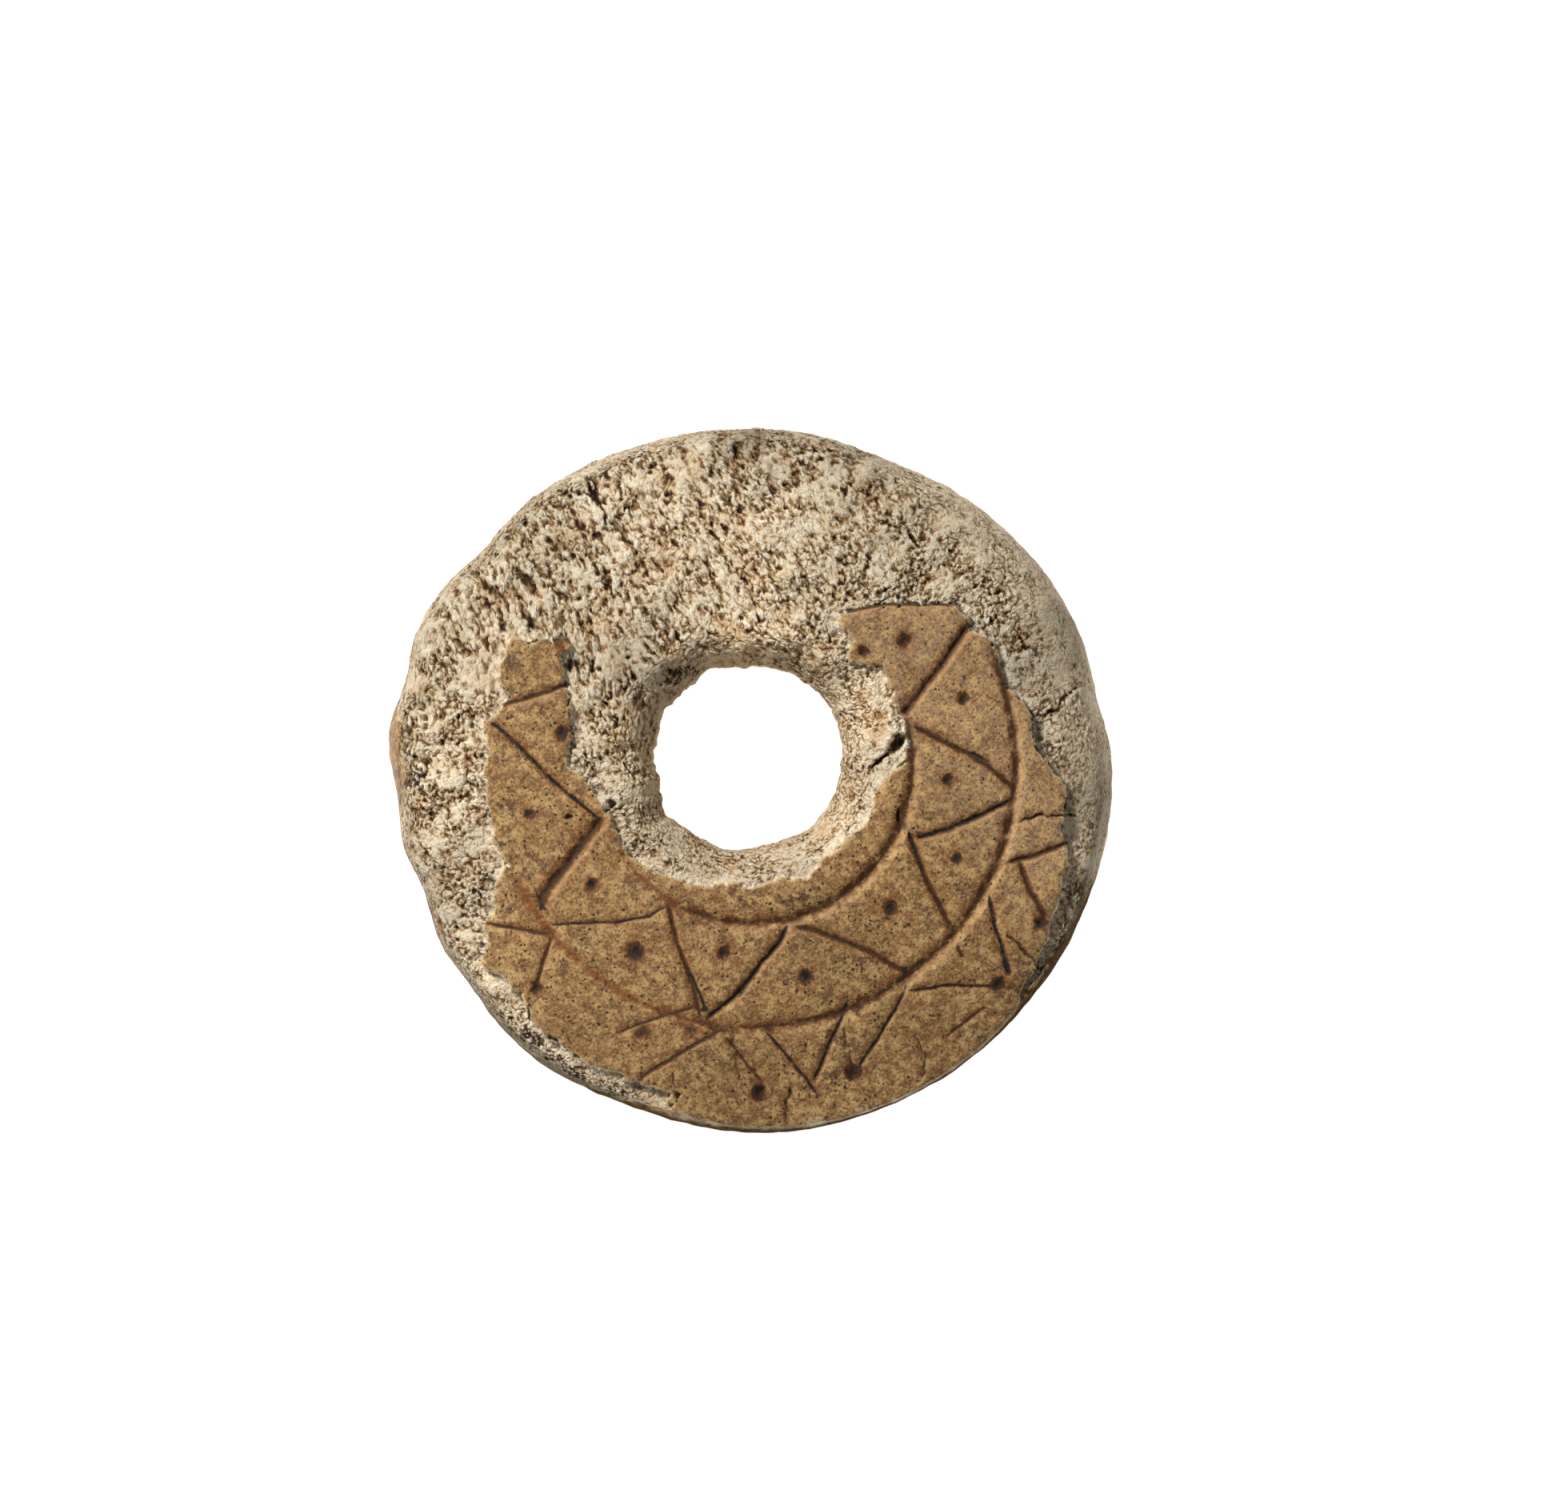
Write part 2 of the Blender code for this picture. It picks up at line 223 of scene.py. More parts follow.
def open_cells(
    points: np.ndarray, spacing: float, share: float, widths: tuple[float, float], seed: int
) -> np.ndarray:
    """How deep each point lies in scattered round cells, 0 outside them and 1 at their middle.

    Each cube of a lattice holds one ball at a random place, and a share of the balls is open. The
    depth at a point is 1 - (distance / radius)^2 of the ball that it is deepest in.

    Args:
        points: places in millimetres, three coordinates in the last axis.
        spacing: edge of the lattice's cubes.
        share: part of the balls that is open.
        widths: smallest and largest radius.
        seed: which pattern to give.

    Returns:
        One value for each point.
    """
    at = (points / spacing).astype(np.float32)
    base = np.floor(at).astype(np.int32)
    deepest = np.zeros(at.shape[:-1], np.float32)
    for step in np.ndindex(3, 3, 3):
        cell = tuple(base[..., k] + step[k] - 1 for k in range(3))
        bits, more, last = (hashed(cell, seed + 131 * k) for k in range(3))
        place = (unit(bits), unit(bits, 1), unit(more))
        off = [at[..., k] - cell[k] - place[k] for k in range(3)]
        radius = (widths[0] + (widths[1] - widths[0]) * unit(last)) / spacing
        depth = 1.0 - (off[0] ** 2 + off[1] ** 2 + off[2] ** 2) / radius**2
        depth = np.where(unit(more, 1) < share, depth, 0.0)
        deepest = np.maximum(deepest, depth)
    return deepest


def crumbs(points: np.ndarray, size: float, seed: int) -> tuple[np.ndarray, np.ndarray, np.ndarray]:
    """Splits space into irregular crumbs, the places nearest to each of a jittered lattice's seeds.

    Args:
        points: places in millimetres, three coordinates in the last axis.
        size: edge of the lattice's cubes, which is about a crumb's width.
        seed: which pattern to give.

    Returns:
        How much further the second nearest seed is than the nearest one, which is 0 in the gaps
        between crumbs, the distance to the nearest one, which is greatest where gaps meet, and a
        number from 0 to 1 that each crumb holds.
    """
    at = (points / size).astype(np.float32)
    base = np.floor(at).astype(np.int32)
    first = np.full(at.shape[:-1], np.inf, np.float32)
    second = first.copy()
    held = np.zeros(at.shape[:-1], np.float32)
    for step in np.ndindex(3, 3, 3):
        cell = tuple(base[..., k] + step[k] - 1 for k in range(3))
        bits, more = hashed(cell, seed), hashed(cell, seed + 61)
        place = (unit(bits), unit(bits, 1), unit(more))
        off = [at[..., k] - cell[k] - place[k] for k in range(3)]
        gap = np.sqrt(off[0] ** 2 + off[1] ** 2 + off[2] ** 2)
        closer = gap < first
        second = np.where(closer, first, np.minimum(second, gap))
        held = np.where(closer, unit(more, 1), held)
        first = np.where(closer, gap, first)
    return second - first, first, held


def soft_mean(field: np.ndarray, rows: int, columns: int) -> np.ndarray:
    """The field averaged over a box of grid places, twice, wrapping at every edge.

    Args:
        field: values on the sheet's grid.
        rows: half the box's height in grid steps.
        columns: half its width.

    Returns:
        The smoothed field.
    """
    for axis, half in ((0, rows), (1, columns), (0, rows), (1, columns)):
        pad = [(0, 0), (0, 0)]
        pad[axis] = (half + 1, half)
        total = np.cumsum(np.pad(field.astype(np.float64), pad, mode="wrap"), axis=axis)
        wide = 2 * half + 1
        ahead = np.take(total, np.arange(wide, total.shape[axis]), axis=axis)
        behind = np.take(total, np.arange(0, total.shape[axis] - wide), axis=axis)
        field = (ahead - behind) / wide
    return field.astype(np.float32)


def wear(angle: np.ndarray, rows: tuple[tuple[float, float, float], ...]) -> np.ndarray:
    """The sum of smooth rises, each 0.5 + 0.5 cos(180 away / half width) inside its half width.

    Args:
        angle: angles in degrees.
        rows: (middle angle, half width, height) of each rise.

    Returns:
        The sum at each angle.
    """
    total = np.zeros_like(angle)
    for middle, half, height in rows:
        away = (angle - middle + 180.0) % 360.0 - 180.0
        rise = 0.5 + 0.5 * np.cos(np.pi * away / half)
        total = total + height * np.where(np.abs(away) < half, rise, 0.0)
    return total


def by_angle(angle: np.ndarray, knots: tuple[tuple[float, float], ...]) -> np.ndarray:
    """Straight-line values between (angle, value) knots that go once round, in degrees."""
    turns, values = zip(*sorted(knots))
    return np.interp(angle % 360.0, turns, values, period=360.0)


def to_path(plan: np.ndarray, path: tuple[tuple[float, float], ...]) -> tuple[np.ndarray, np.ndarray]:
    """Distance from places to a path of straight stretches, and how far along it they lie.

    Args:
        plan: places, two coordinates in the last axis.
        path: the path's corners.

    Returns:
        The distance, and the share of the path's length at the nearest place on it.
    """
    corners = np.array(path, np.float32)
    legs = np.diff(corners, axis=0)
    lengths = np.hypot(legs[:, 0], legs[:, 1])
    before = np.concatenate([[0.0], np.cumsum(lengths)])
    nearest = np.full(plan.shape[:-1], np.inf, np.float32)
    share = np.zeros(plan.shape[:-1], np.float32)
    for start, leg, length, done in zip(corners, legs, lengths, before):
        off = plan - start
        t = np.clip((off @ leg) / length**2, 0.0, 1.0)
        gap = np.hypot(off[..., 0] - t * leg[0], off[..., 1] - t * leg[1])
        closer = gap < nearest
        nearest = np.where(closer, gap, nearest)
        share = np.where(closer, (done + t * length) / before[-1], share)
    return nearest, share


def inside_outline(plan: np.ndarray, outline: tuple[tuple[float, float], ...]) -> np.ndarray:
    """Distance to a closed outline, above 0 inside it and below 0 outside.

    A place is inside if a ray from it towards +X crosses the outline an odd number of times.

    Args:
        plan: places, two coordinates in the last axis.
        outline: the outline's corners.

    Returns:
        The signed distance.
    """
    distance, _ = to_path(plan, (*outline, outline[0]))
    within = np.zeros(plan.shape[:-1], bool)
    x, y = plan[..., 0], plan[..., 1]
    for (ax, ay), (bx, by) in zip(outline, (*outline[1:], outline[0])):
        if ay != by:
            crosses = ((ay > y) != (by > y)) & (x < (bx - ax) * (y - ay) / (by - ay) + ax)
            within ^= crosses
    return np.where(within, distance, -distance)


# The blank: the form of the disc before the skin is broken and carved.


class Zone(IntEnum):
    """The parts of the section, in the order the rows run."""

    UNDERSIDE = 0
    FOOT = 1
    FLANK = 2
    FACE = 3
    FUNNEL = 4
    BORE = 5
    MOUTH = 6


@dataclass
class Sheet:
    """The whorl's surface as a grid of places, rows along the section by angles round the hole."""

    points: np.ndarray
    angle: np.ndarray
    zone: np.ndarray

    def normals(self) -> np.ndarray:
        """Unit normals, from the cross product of the steps round the hole and along the section."""
        across = np.roll(self.points, -1, 1) - np.roll(self.points, 1, 1)
        along = np.roll(self.points, -1, 0) - np.roll(self.points, 1, 0)
        normal = np.cross(across, along)
        return normal / np.maximum(np.linalg.norm(normal, axis=-1, keepdims=True), 1e-9)


@dataclass(frozen=True)
class Blank:
    """The domed disc with its hole, in millimetres; wear is (angle, half width, depth).

    In rim_dents a depth below 0 is a swell.
    """

    rim_r: float = 23.4
    crown_h: float = 12.8
    dome_drop: float = 2.3
    widest_h: float = 5.2
    shoulder_inset: float = 1.2
    shoulder_wear: tuple = ((20.0, 80.0, 1.40), (175.0, 50.0, 0.60), (-60.0, 72.0, -0.85))
    foot_inset: float = 3.4
    worn_side: float = 90.0
    worn_depth: float = 2.7
    worn_sharpness: float = 2.0
    rim_dents: tuple = (
        (66.0, 16.0, 0.30),
        (140.0, 10.0, 0.30),
        (167.0, 8.0, 0.38),
        (186.0, 11.0, 0.45),
        (203.0, 24.0, 1.10),
        (218.0, 10.0, 0.30),
        (249.0, 28.0, 0.42),
        (10.0, 9.0, 0.25),
        (30.0, 25.0, -0.20),
        (75.0, 50.0, -0.08),
        (145.0, 8.0, 0.20),
        (157.0, 20.0, -0.15),
        (194.0, 9.0, -0.20),
        (211.0, 9.0, -0.20),
        (225.0, 12.0, 0.40),
        (275.0, 60.0, -0.17),
        (355.0, 20.0, -0.15),
    )
    rim_wave: float = 0.055
    rim_wave_size: float = 1.1
    hole_r: float = 5.9
    hole_wear: tuple = (
        (35.0, 45.0, 0.20),
        (92.0, 8.0, -0.18),
        (113.0, 13.0, 0.28),
        (152.0, 12.0, 0.18),
        (178.0, 8.0, 0.14),
        (193.0, 7.0, -0.18),
        (214.0, 14.0, 0.42),
        (285.0, 32.0, -0.35),
    )
    hole_chip: float = 0.10
    hole_chip_size: float = 0.55
    funnel_w: float = 2.0
    funnel_h: float = 3.4
    funnel_wear: tuple = ((8.0, 60.0, 1.50), (150.0, 50.0, 0.60))
    funnel_curve: float = 1.667
    mouth_bevel: float = 0.8
    columns: int = 1440
    steps: tuple = (30, 40, 60, 184, 44, 36, 5)

    def toward_worn_side(self, angle: np.ndarray) -> np.ndarray:
        """1 on the worn side of the rim and 0 on the side across from it."""
        return 0.5 + 0.5 * np.cos(np.radians(angle - self.worn_side))

    def rim(self, angle: np.ndarray) -> np.ndarray:
        """Radius of the outline as it survives: the fair form, less what is worn, and fine noise."""
        worn = self.worn_depth * self.toward_worn_side(angle) ** self.worn_sharpness
        turn = np.radians(angle)
        ring = self.rim_r * np.stack([np.cos(turn), np.sin(turn), np.zeros_like(turn)], axis=-1)
        wave = self.rim_wave * noise(ring, self.rim_wave_size, SEED + 70)
        return self.rim_r - worn - wear(angle, self.rim_dents) + wave

    def bore(self, angle: np.ndarray) -> np.ndarray:
        """Radius of the hole's wall: round, with what wear has added to it or left, and small chips."""
        turn = np.radians(angle)
        ring = self.hole_r * np.stack([np.cos(turn), np.sin(turn), np.zeros_like(turn)], axis=-1)
        chips = self.hole_chip * noise(ring, self.hole_chip_size, SEED + 71)
        return self.hole_r + wear(angle, self.hole_wear) + chips

    def dome(self, radius: np.ndarray) -> np.ndarray:
        """Height of the unbroken face: the crown less a drop that grows with the radius squared."""
        return self.crown_h - self.dome_drop * (radius / self.rim_r) ** 2

    def section(self, angle: np.ndarray) -> list[tuple[Zone, np.ndarray, np.ndarray]]:
        """The section's stretches as radius and height, rows by angles.

        The foot and the flank are quarter ellipses that meet at the widest height, the face is
        the dome, and the funnel's radius falls as the 1.667th power of its height.

        Args:
            angle: the angle of each column.

        Returns:
            Each stretch's zone, radii and heights, each without its last row.
        """
        rim, bore = self.rim(angle), self.bore(angle)
        lip = bore + self.funnel_w + wear(angle, self.funnel_wear)
        inset = self.shoulder_inset + wear(angle, self.shoulder_wear)
        shoulder = rim - inset
        rise = self.dome(shoulder) - self.widest_h
        throat = self.dome(lip) - self.funnel_h
        t = [np.linspace(0.0, 1.0, n, endpoint=False)[:, None] for n in self.steps]
        turn = [x * math.pi / 2.0 for x in t]
        flat = np.zeros_like(angle)
        face = mixed(shoulder, lip, t[3])
        return [
            (Zone.UNDERSIDE, mixed(bore + self.mouth_bevel, rim - self.foot_inset, t[0]), flat + 0.0 * t[0]),
            (
                Zone.FOOT,
                rim - self.foot_inset * (1.0 - np.sin(turn[1])),
                self.widest_h * (1.0 - np.cos(turn[1])) + flat,
            ),
            (Zone.FLANK, rim - inset * (1.0 - np.cos(turn[2])), self.widest_h + rise * np.sin(turn[2])),
            (Zone.FACE, face, self.dome(face)),
            (
                Zone.FUNNEL,
                mixed(bore, lip, (1.0 - t[4]) ** self.funnel_curve),
                mixed(self.dome(lip), throat, t[4]),
            ),
            (Zone.BORE, bore + 0.0 * t[5], mixed(throat, self.mouth_bevel + flat, t[5])),
            (
                Zone.MOUTH,
                mixed(bore, bore + self.mouth_bevel, t[6]),
                mixed(self.mouth_bevel + flat, flat, t[6]),
            ),
        ]

    def sheet(self) -> Sheet:
        """The blank's surface: every stretch of the section swept round the hole.

        Returns:
            The sheet, with the zone of each row.
        """
        angle = np.linspace(-180.0, 180.0, self.columns, endpoint=False)
        stretches = self.section(angle)
        radius = np.concatenate([r for _, r, _ in stretches])
        height = np.concatenate([z for _, _, z in stretches])
        zone = np.concatenate([np.full(len(r), kind) for kind, r, _ in stretches])
        turn = np.radians(angle)
        points = np.stack([radius * np.cos(turn), radius * np.sin(turn), height], axis=-1)
        return Sheet(points, np.broadcast_to(angle, radius.shape), zone)


# What has been done to the skin: the carving, and the breaks that time made.


class Fill(Enum):
    """What a cut holds."""

    RUST = "rust"
    SOOT = "soot"


@dataclass(frozen=True)
class Cut:
    """A knife stroke or a crack along a path of plan places, in millimetres."""

    path: tuple
    width: float
    depth: float
    fill: Fill = Fill.RUST


@dataclass(frozen=True)
class Ring:
    """A ring cut about the carving's centre; held is (angle, share of the depth left there)."""

    radius: float
    start: float
    end: float
    width: float
    depth: float
    held: tuple


@dataclass(frozen=True)
class Dot:
    """A drilled dot: a worn round bowl with a stain that spreads past it."""

    x: float
    y: float
    radius: float = 0.36
    depth: float = 0.17
    stain: float = 0.9


@dataclass(frozen=True)
class Hollow:
    """An open cell or chip of the broken bone: an oval dent, turned from +X."""

    x: float
    y: float
    long: float
    wide: float
    turn: float
    depth: float
    dark: float = 0.6


@dataclass
class Marks:
    """What the carving gives each place: how deep it is cut, its dirt with painted shade on the rings'
    shadowed walls, and a painted highlight on the cut walls that face the light.
    """

    cut: np.ndarray
    soot: np.ndarray
    rust: np.ndarray
    umber_and_painted_shade: np.ndarray
    rubbed_and_painted_highlight: np.ndarray


@dataclass(frozen=True)
class Carving:
    """Two rings, two bands of zigzag and a drilled dot in most of their triangles."""

    centre: tuple = (0.35, -0.35)
    rings: tuple = (
        Ring(
            10.0, 20.0, -150.0, 1.45, 0.40,
            (
                (20.0, 0.9), (-20.0, 1.0), (-60.0, 1.0), (-90.0, 1.0),
                (-112.0, 0.8), (-125.0, 0.3), (-150.0, 0.4),
            ),
        ),
        Ring(
            16.5, 30.0, -157.0, 1.20, 0.36,
            (
                (30.0, 1.0), (-10.0, 1.0), (-50.0, 1.0), (-80.0, 0.8),
                (-100.0, 0.6), (-118.0, 0.15), (-157.0, 0.3),
            ),
        ),
    )  # fmt: skip
    strokes: tuple = (
        Cut(((-15.40, 3.35), (-11.45, 4.55)), 0.40, 0.26),
        Cut(
            ((-16.10, 2.30), (-14.55, 1.00), (-12.95, -0.65), (-11.40, -2.10), (-9.25, -3.80)),
            0.42, 0.24, Fill.SOOT,
        ),
        Cut(((-9.15, -3.70), (-12.95, -8.70), (-12.85, -9.30)), 0.95, 0.42),
        Cut(
            ((-12.25, -10.40), (-10.20, -10.25), (-7.80, -10.15), (-6.20, -9.85), (-5.10, -9.25)),
            0.26, 0.14, Fill.SOOT,
        ),
        Cut(((-5.00, -9.25), (-4.50, -11.40), (-3.75, -13.20), (-2.90, -16.40)), 0.45, 0.26),
        Cut(((-3.75, -13.10), (-2.55, -15.85)), 0.35, 0.18, Fill.SOOT),
        Cut(
            ((2.40, -10.45), (1.95, -11.50), (0.75, -12.85), (-0.50, -14.55), (-2.55, -16.20)),
            0.50, 0.30, Fill.SOOT,
        ),
        Cut(((2.75, -10.40), (4.35, -10.80), (6.20, -11.50), (7.75, -12.10), (9.75, -13.40)), 0.50, 0.20),
        Cut(((10.05, -4.60), (11.00, -7.25), (11.80, -8.85), (12.75, -10.75)), 0.55, 0.32),
        Cut(((10.05, -4.60), (11.00, -7.25)), 0.30, 0.34, Fill.SOOT),
        Cut(((10.55, -4.95), (12.70, -4.35), (14.45, -3.55), (16.65, -2.50)), 0.55, 0.28, Fill.SOOT),
        Cut(((10.25, 2.05), (12.15, 1.10), (13.85, 0.25), (15.00, -0.45), (16.85, -2.00)), 0.55, 0.28),
        Cut(((13.95, 0.35), (15.10, -0.20)), 0.30, 0.22, Fill.SOOT),
        Cut(((13.75, 8.35), (12.15, 5.95), (11.00, 4.50), (9.65, 2.75)), 0.72, 0.40),
        Cut(((5.75, 9.15), (8.10, 9.60), (9.85, 9.70), (13.05, 9.60)), 0.34, 0.14),
        Cut(((-16.40, -10.30), (-12.35, -11.00)), 0.30, 0.16),
        Cut(((-12.30, -11.25), (-12.75, -12.40), (-13.25, -14.10)), 0.34, 0.20),
        Cut(((-8.15, -17.10), (-6.20, -16.40), (-3.35, -15.50)), 0.22, 0.12),
        Cut(((-1.45, -16.80), (-3.40, -17.95), (-5.10, -18.95), (-6.95, -20.15)), 0.36, 0.14),
        Cut(((-1.35, -17.45), (0.00, -19.25), (0.75, -20.10)), 0.20, 0.08),
        Cut(((1.15, -17.10), (2.55, -18.70), (4.35, -21.00)), 0.30, 0.14, Fill.SOOT),
        Cut(((6.25, -15.20), (6.05, -15.70), (5.10, -17.80), (4.15, -20.10)), 0.42, 0.24, Fill.SOOT),
        Cut(((10.00, -13.85), (9.20, -15.75), (8.00, -17.70), (6.95, -19.25)), 0.30, 0.16, Fill.SOOT),
        Cut(((10.15, -14.50), (12.15, -14.20), (15.55, -14.25)), 0.26, 0.12, Fill.SOOT),
        Cut(((15.05, -8.65), (15.45, -10.35), (15.90, -11.95), (16.40, -13.60)), 0.46, 0.22, Fill.SOOT),
        Cut(((17.00, -6.45), (17.65, -8.25), (18.70, -10.00)), 0.50, 0.24),
        Cut(((16.35, -6.45), (17.85, -6.10), (20.00, -5.25)), 0.50, 0.26),
        Cut(((12.35, -17.35), (14.80, -15.60)), 0.24, 0.07),
        Cut(((13.05, -11.50), (13.45, -12.40)), 0.24, 0.12),
    )  # fmt: skip
    dots: tuple = (
        Dot(9.80, 7.35, 0.46, 0.34, 0.80), Dot(13.45, 3.75, 0.42, 0.32, 0.80), Dot(12.55, -1.30),
        Dot(13.00, -6.20), Dot(8.90, -9.30, 0.48), Dot(3.75, -13.60, 0.46), Dot(-1.55, -12.20),
        Dot(-7.00, -12.00, 0.60), Dot(-9.70, -7.85),
        Dot(-13.65, -3.45, 0.36), Dot(-11.65, 1.65, 0.5), Dot(-11.65, 7.40, 0.60, 0.30, 0.4),
        Dot(0.70, -20.90, 0.50), Dot(6.60, -19.65, 0.52), Dot(15.60, -14.15, 0.46), Dot(18.30, -10.20, 0.42),
        Dot(-13.30, -14.30, 0.36), Dot(-6.70, -17.00, 0.40, 0.03, 0.75), Dot(-3.60, -16.95, 0.40, 0.03, 0.55),
        Dot(7.25, 6.70, 0.36, 0.30, 0.8),
    )  # fmt: skip
    blots: tuple = (
        (-12.80, -9.40, 0.40), (9.70, -13.25, 0.40), (-2.75, -15.70, 0.30), (9.60, -2.35, 0.32),
        (-3.00, -10.90, 0.30), (9.55, 0.95, 0.35), (4.30, -21.30, 0.35), (9.50, -16.20, 0.25),
    )  # fmt: skip
    cracks: tuple = (
        Cut(((16.75, -4.10), (18.10, -3.55), (19.50, -3.50), (20.65, -3.55)), 0.20, 0.30),
        Cut(((-10.10, 17.60), (-9.55, 16.50), (-8.90, 15.05), (-8.75, 14.40)), 0.22, 0.45),
        Cut(((20.75, 4.60), (19.95, 4.00), (19.25, 3.10), (18.35, 2.65)), 0.22, 0.40),
        Cut(
            ((16.25, -11.05), (16.85, -11.50), (17.30, -12.15), (18.00, -12.65), (18.55, -13.30)),
            0.22, 0.30,
        ),
        Cut(((-1.10, -16.85), (-0.70, -18.40), (-0.85, -19.15), (-0.50, -20.25)), 0.18, 0.12),
        Cut(((-4.80, -19.50), (-4.55, -20.95)), 0.18, 0.16),
        Cut(((2.80, -20.45), (2.30, -21.80), (2.35, -22.65)), 0.20, 0.22),
        Cut(((6.05, -16.95), (6.30, -18.30), (6.60, -19.25)), 0.18, 0.12),
        Cut(((10.40, -17.35), (11.05, -18.60), (10.95, -19.90)), 0.18, 0.14),
    )  # fmt: skip
    taper: float = 0.06
    ring_ends: tuple = (5.0, 8.0)
    wobble: float = 0.07
    wobble_size: float = 1.1
    crack_wobble: float = 0.20
    crack_wobble_size: float = 0.6
    patch_size: float = 0.9
    rag_size: float = 0.32
    # Painted shade: a ring's rust and brown stain are shifted towards the groove's upper-left wall, which
    # faces away from the light, by this heading and shift.
    painted_shade_side: float = 135.0
    painted_shade_shift: float = 0.17
    # Painted highlight on the cut walls towards the lower right, which face the light: its side, its share
    # round each ring, and its offset, fade and strength.
    painted_highlight_side: tuple = (0.71, -0.71)
    ring_painted_highlight: tuple = (
        (30.0, 0.3), (12.0, 0.6), (0.0, 0.9), (-50.0, 0.9),
        (-80.0, 0.6), (-105.0, 0.25), (-130.0, 0.0), (90.0, 0.0),
    )  # fmt: skip
    ring_wall: float = 0.38
    ring_wall_fade: tuple = (0.33, 0.08)
    stroke_painted_highlight: float = 0.65
    dot_painted_highlight: float = 2.2
    rust_reach: float = 1.5
    soot_reach: float = 0.30
    margin: float = 1.2

    def marks(self, sheet: Sheet) -> Marks:
        """Works out the carving on the face.

        A cut's depth falls in a straight line from its middle to its edge, and tapers at its ends.
        Soot keeps to the middle of the cuts that hold it, and rust spreads past their edges. Where
        a ring is cut faintly its stain is narrower and patchier. A ring's rust and brown stain are
        shifted towards its wall that faces away from the light, as painted shade. The wall of a ring,
        a stroke or a dot that lies towards the lower right, which faces the light, gets a painted
        highlight.

        Args:
            sheet: the surface whose plan places are carved.

        Returns:
            The marks, 0 wherever the surface isn't the face, flank or funnel.
        """
        shape = sheet.points.shape[:2]
        marks = Marks(*(np.zeros(shape, np.float32) for _ in range(5)))
        rows = np.isin(sheet.zone, (Zone.FLANK, Zone.FACE, Zone.FUNNEL))
        points = sheet.points[rows]
        plan = points[..., :2] + self.wobble * np.stack(
            [noise(points, self.wobble_size, SEED + k) for k in (1, 2)], axis=-1
        )
        patchy = noise(points, self.patch_size, SEED + 3)
        ragged = noise(points, self.rag_size, SEED + 14)
        shake = self.crack_wobble * np.stack(
            [noise(points, self.crack_wobble_size, SEED + k) for k in (12, 13)], axis=-1
        )
        cut, soot, rust, umber_and_painted_shade, rubbed_and_painted_highlight = (np.zeros(points.shape[:2], np.float32) for _ in range(5))
        painted_highlight_side = np.array(self.painted_highlight_side)
        for ring in self.rings:
            off = plan - np.array(self.centre)
            from_line = np.hypot(off[..., 0], off[..., 1]) - ring.radius
            heading = np.degrees(np.arctan2(off[..., 1], off[..., 0]))
            turn = (heading - ring.end) % 360.0
            span = (ring.start - ring.end) % 360.0
            ends = ease(0.0, self.ring_ends[0], turn) * ease(span, span - self.ring_ends[1], turn)
            held = by_angle(heading, ring.held) * ends
            held = held * (0.85 + 0.25 * patchy)
            profile = np.clip(1.0 - 2.0 * np.abs(from_line) / ring.width, 0.0, 1.0) ** 1.15
            cut = np.maximum(cut, ring.depth * held * profile)
            faint = ease(0.8, 0.3, held)
            side = np.cos(np.radians(heading - self.painted_shade_side))
            shift = self.painted_shade_shift * held * side
            # Painted highlight on the ring's wall that faces the light.
            wall = ease(*self.ring_wall_fade, np.abs(from_line + self.ring_wall * side))
            rubbed_and_painted_highlight = np.maximum(rubbed_and_painted_highlight, held * by_angle(heading, self.ring_painted_highlight) * wall)
            # Rust and brown stain along the ring, shifted into its shadowed wall as painted shade.
            near = ease(mixed(0.80, 0.42, faint), 0.0, np.abs(from_line - 1.5 * shift))
            strewn = ends * mixed(0.72, 1.15, faint) * (1.0 + mixed(0.5, 0.9, faint) * patchy)
            rust = np.maximum(rust, strewn * near)
            line = ease(mixed(0.44, 0.20, faint), 0.02, np.abs(from_line - 1.3 * shift))
            umber_and_painted_shade = np.maximum(umber_and_painted_shade, (0.62 * held + 0.20 * ends) * (1.0 + 0.3 * patchy) * line)
        for stroke in (*self.strokes, *self.cracks):
            cracked = stroke in self.cracks
            low = np.min(stroke.path, axis=0) - self.margin
            high = np.max(stroke.path, axis=0) + self.margin
            near = ((plan > low) & (plan < high)).all(axis=-1)
            away, share = to_path(plan[near] + (shake[near] if cracked else 0.0), stroke.path)
            ends = ease(-0.02, self.taper, share) * ease(1.02, 1.0 - self.taper, share)
            ends = 0.35 + 0.65 * ends
            deep = 1.15 * stroke.depth * ends * np.clip(1.0 - 1.8 * away / stroke.width, 0.0, 1.0)
            cut[near] = np.maximum(cut[near], deep)
            if stroke.fill is Fill.SOOT:
                black = np.clip(1.0 - away / (self.soot_reach * stroke.width + 0.06), 0.0, 1.0)
                soot[near] = np.maximum(soot[near], black * (0.85 + 0.35 * patchy[near]))
            spread = np.clip(1.0 - away / (self.rust_reach * stroke.width), 0.0, 1.0)
            rust[near] = np.maximum(rust[near], (0.35 if cracked else 0.75) * spread)
            stain = (0.60 if cracked else 0.82) * ends * ease(0.58 * stroke.width + 0.07, 0.0, away)
            umber_and_painted_shade[near] = np.maximum(umber_and_painted_shade[near], stain)
            if not cracked:
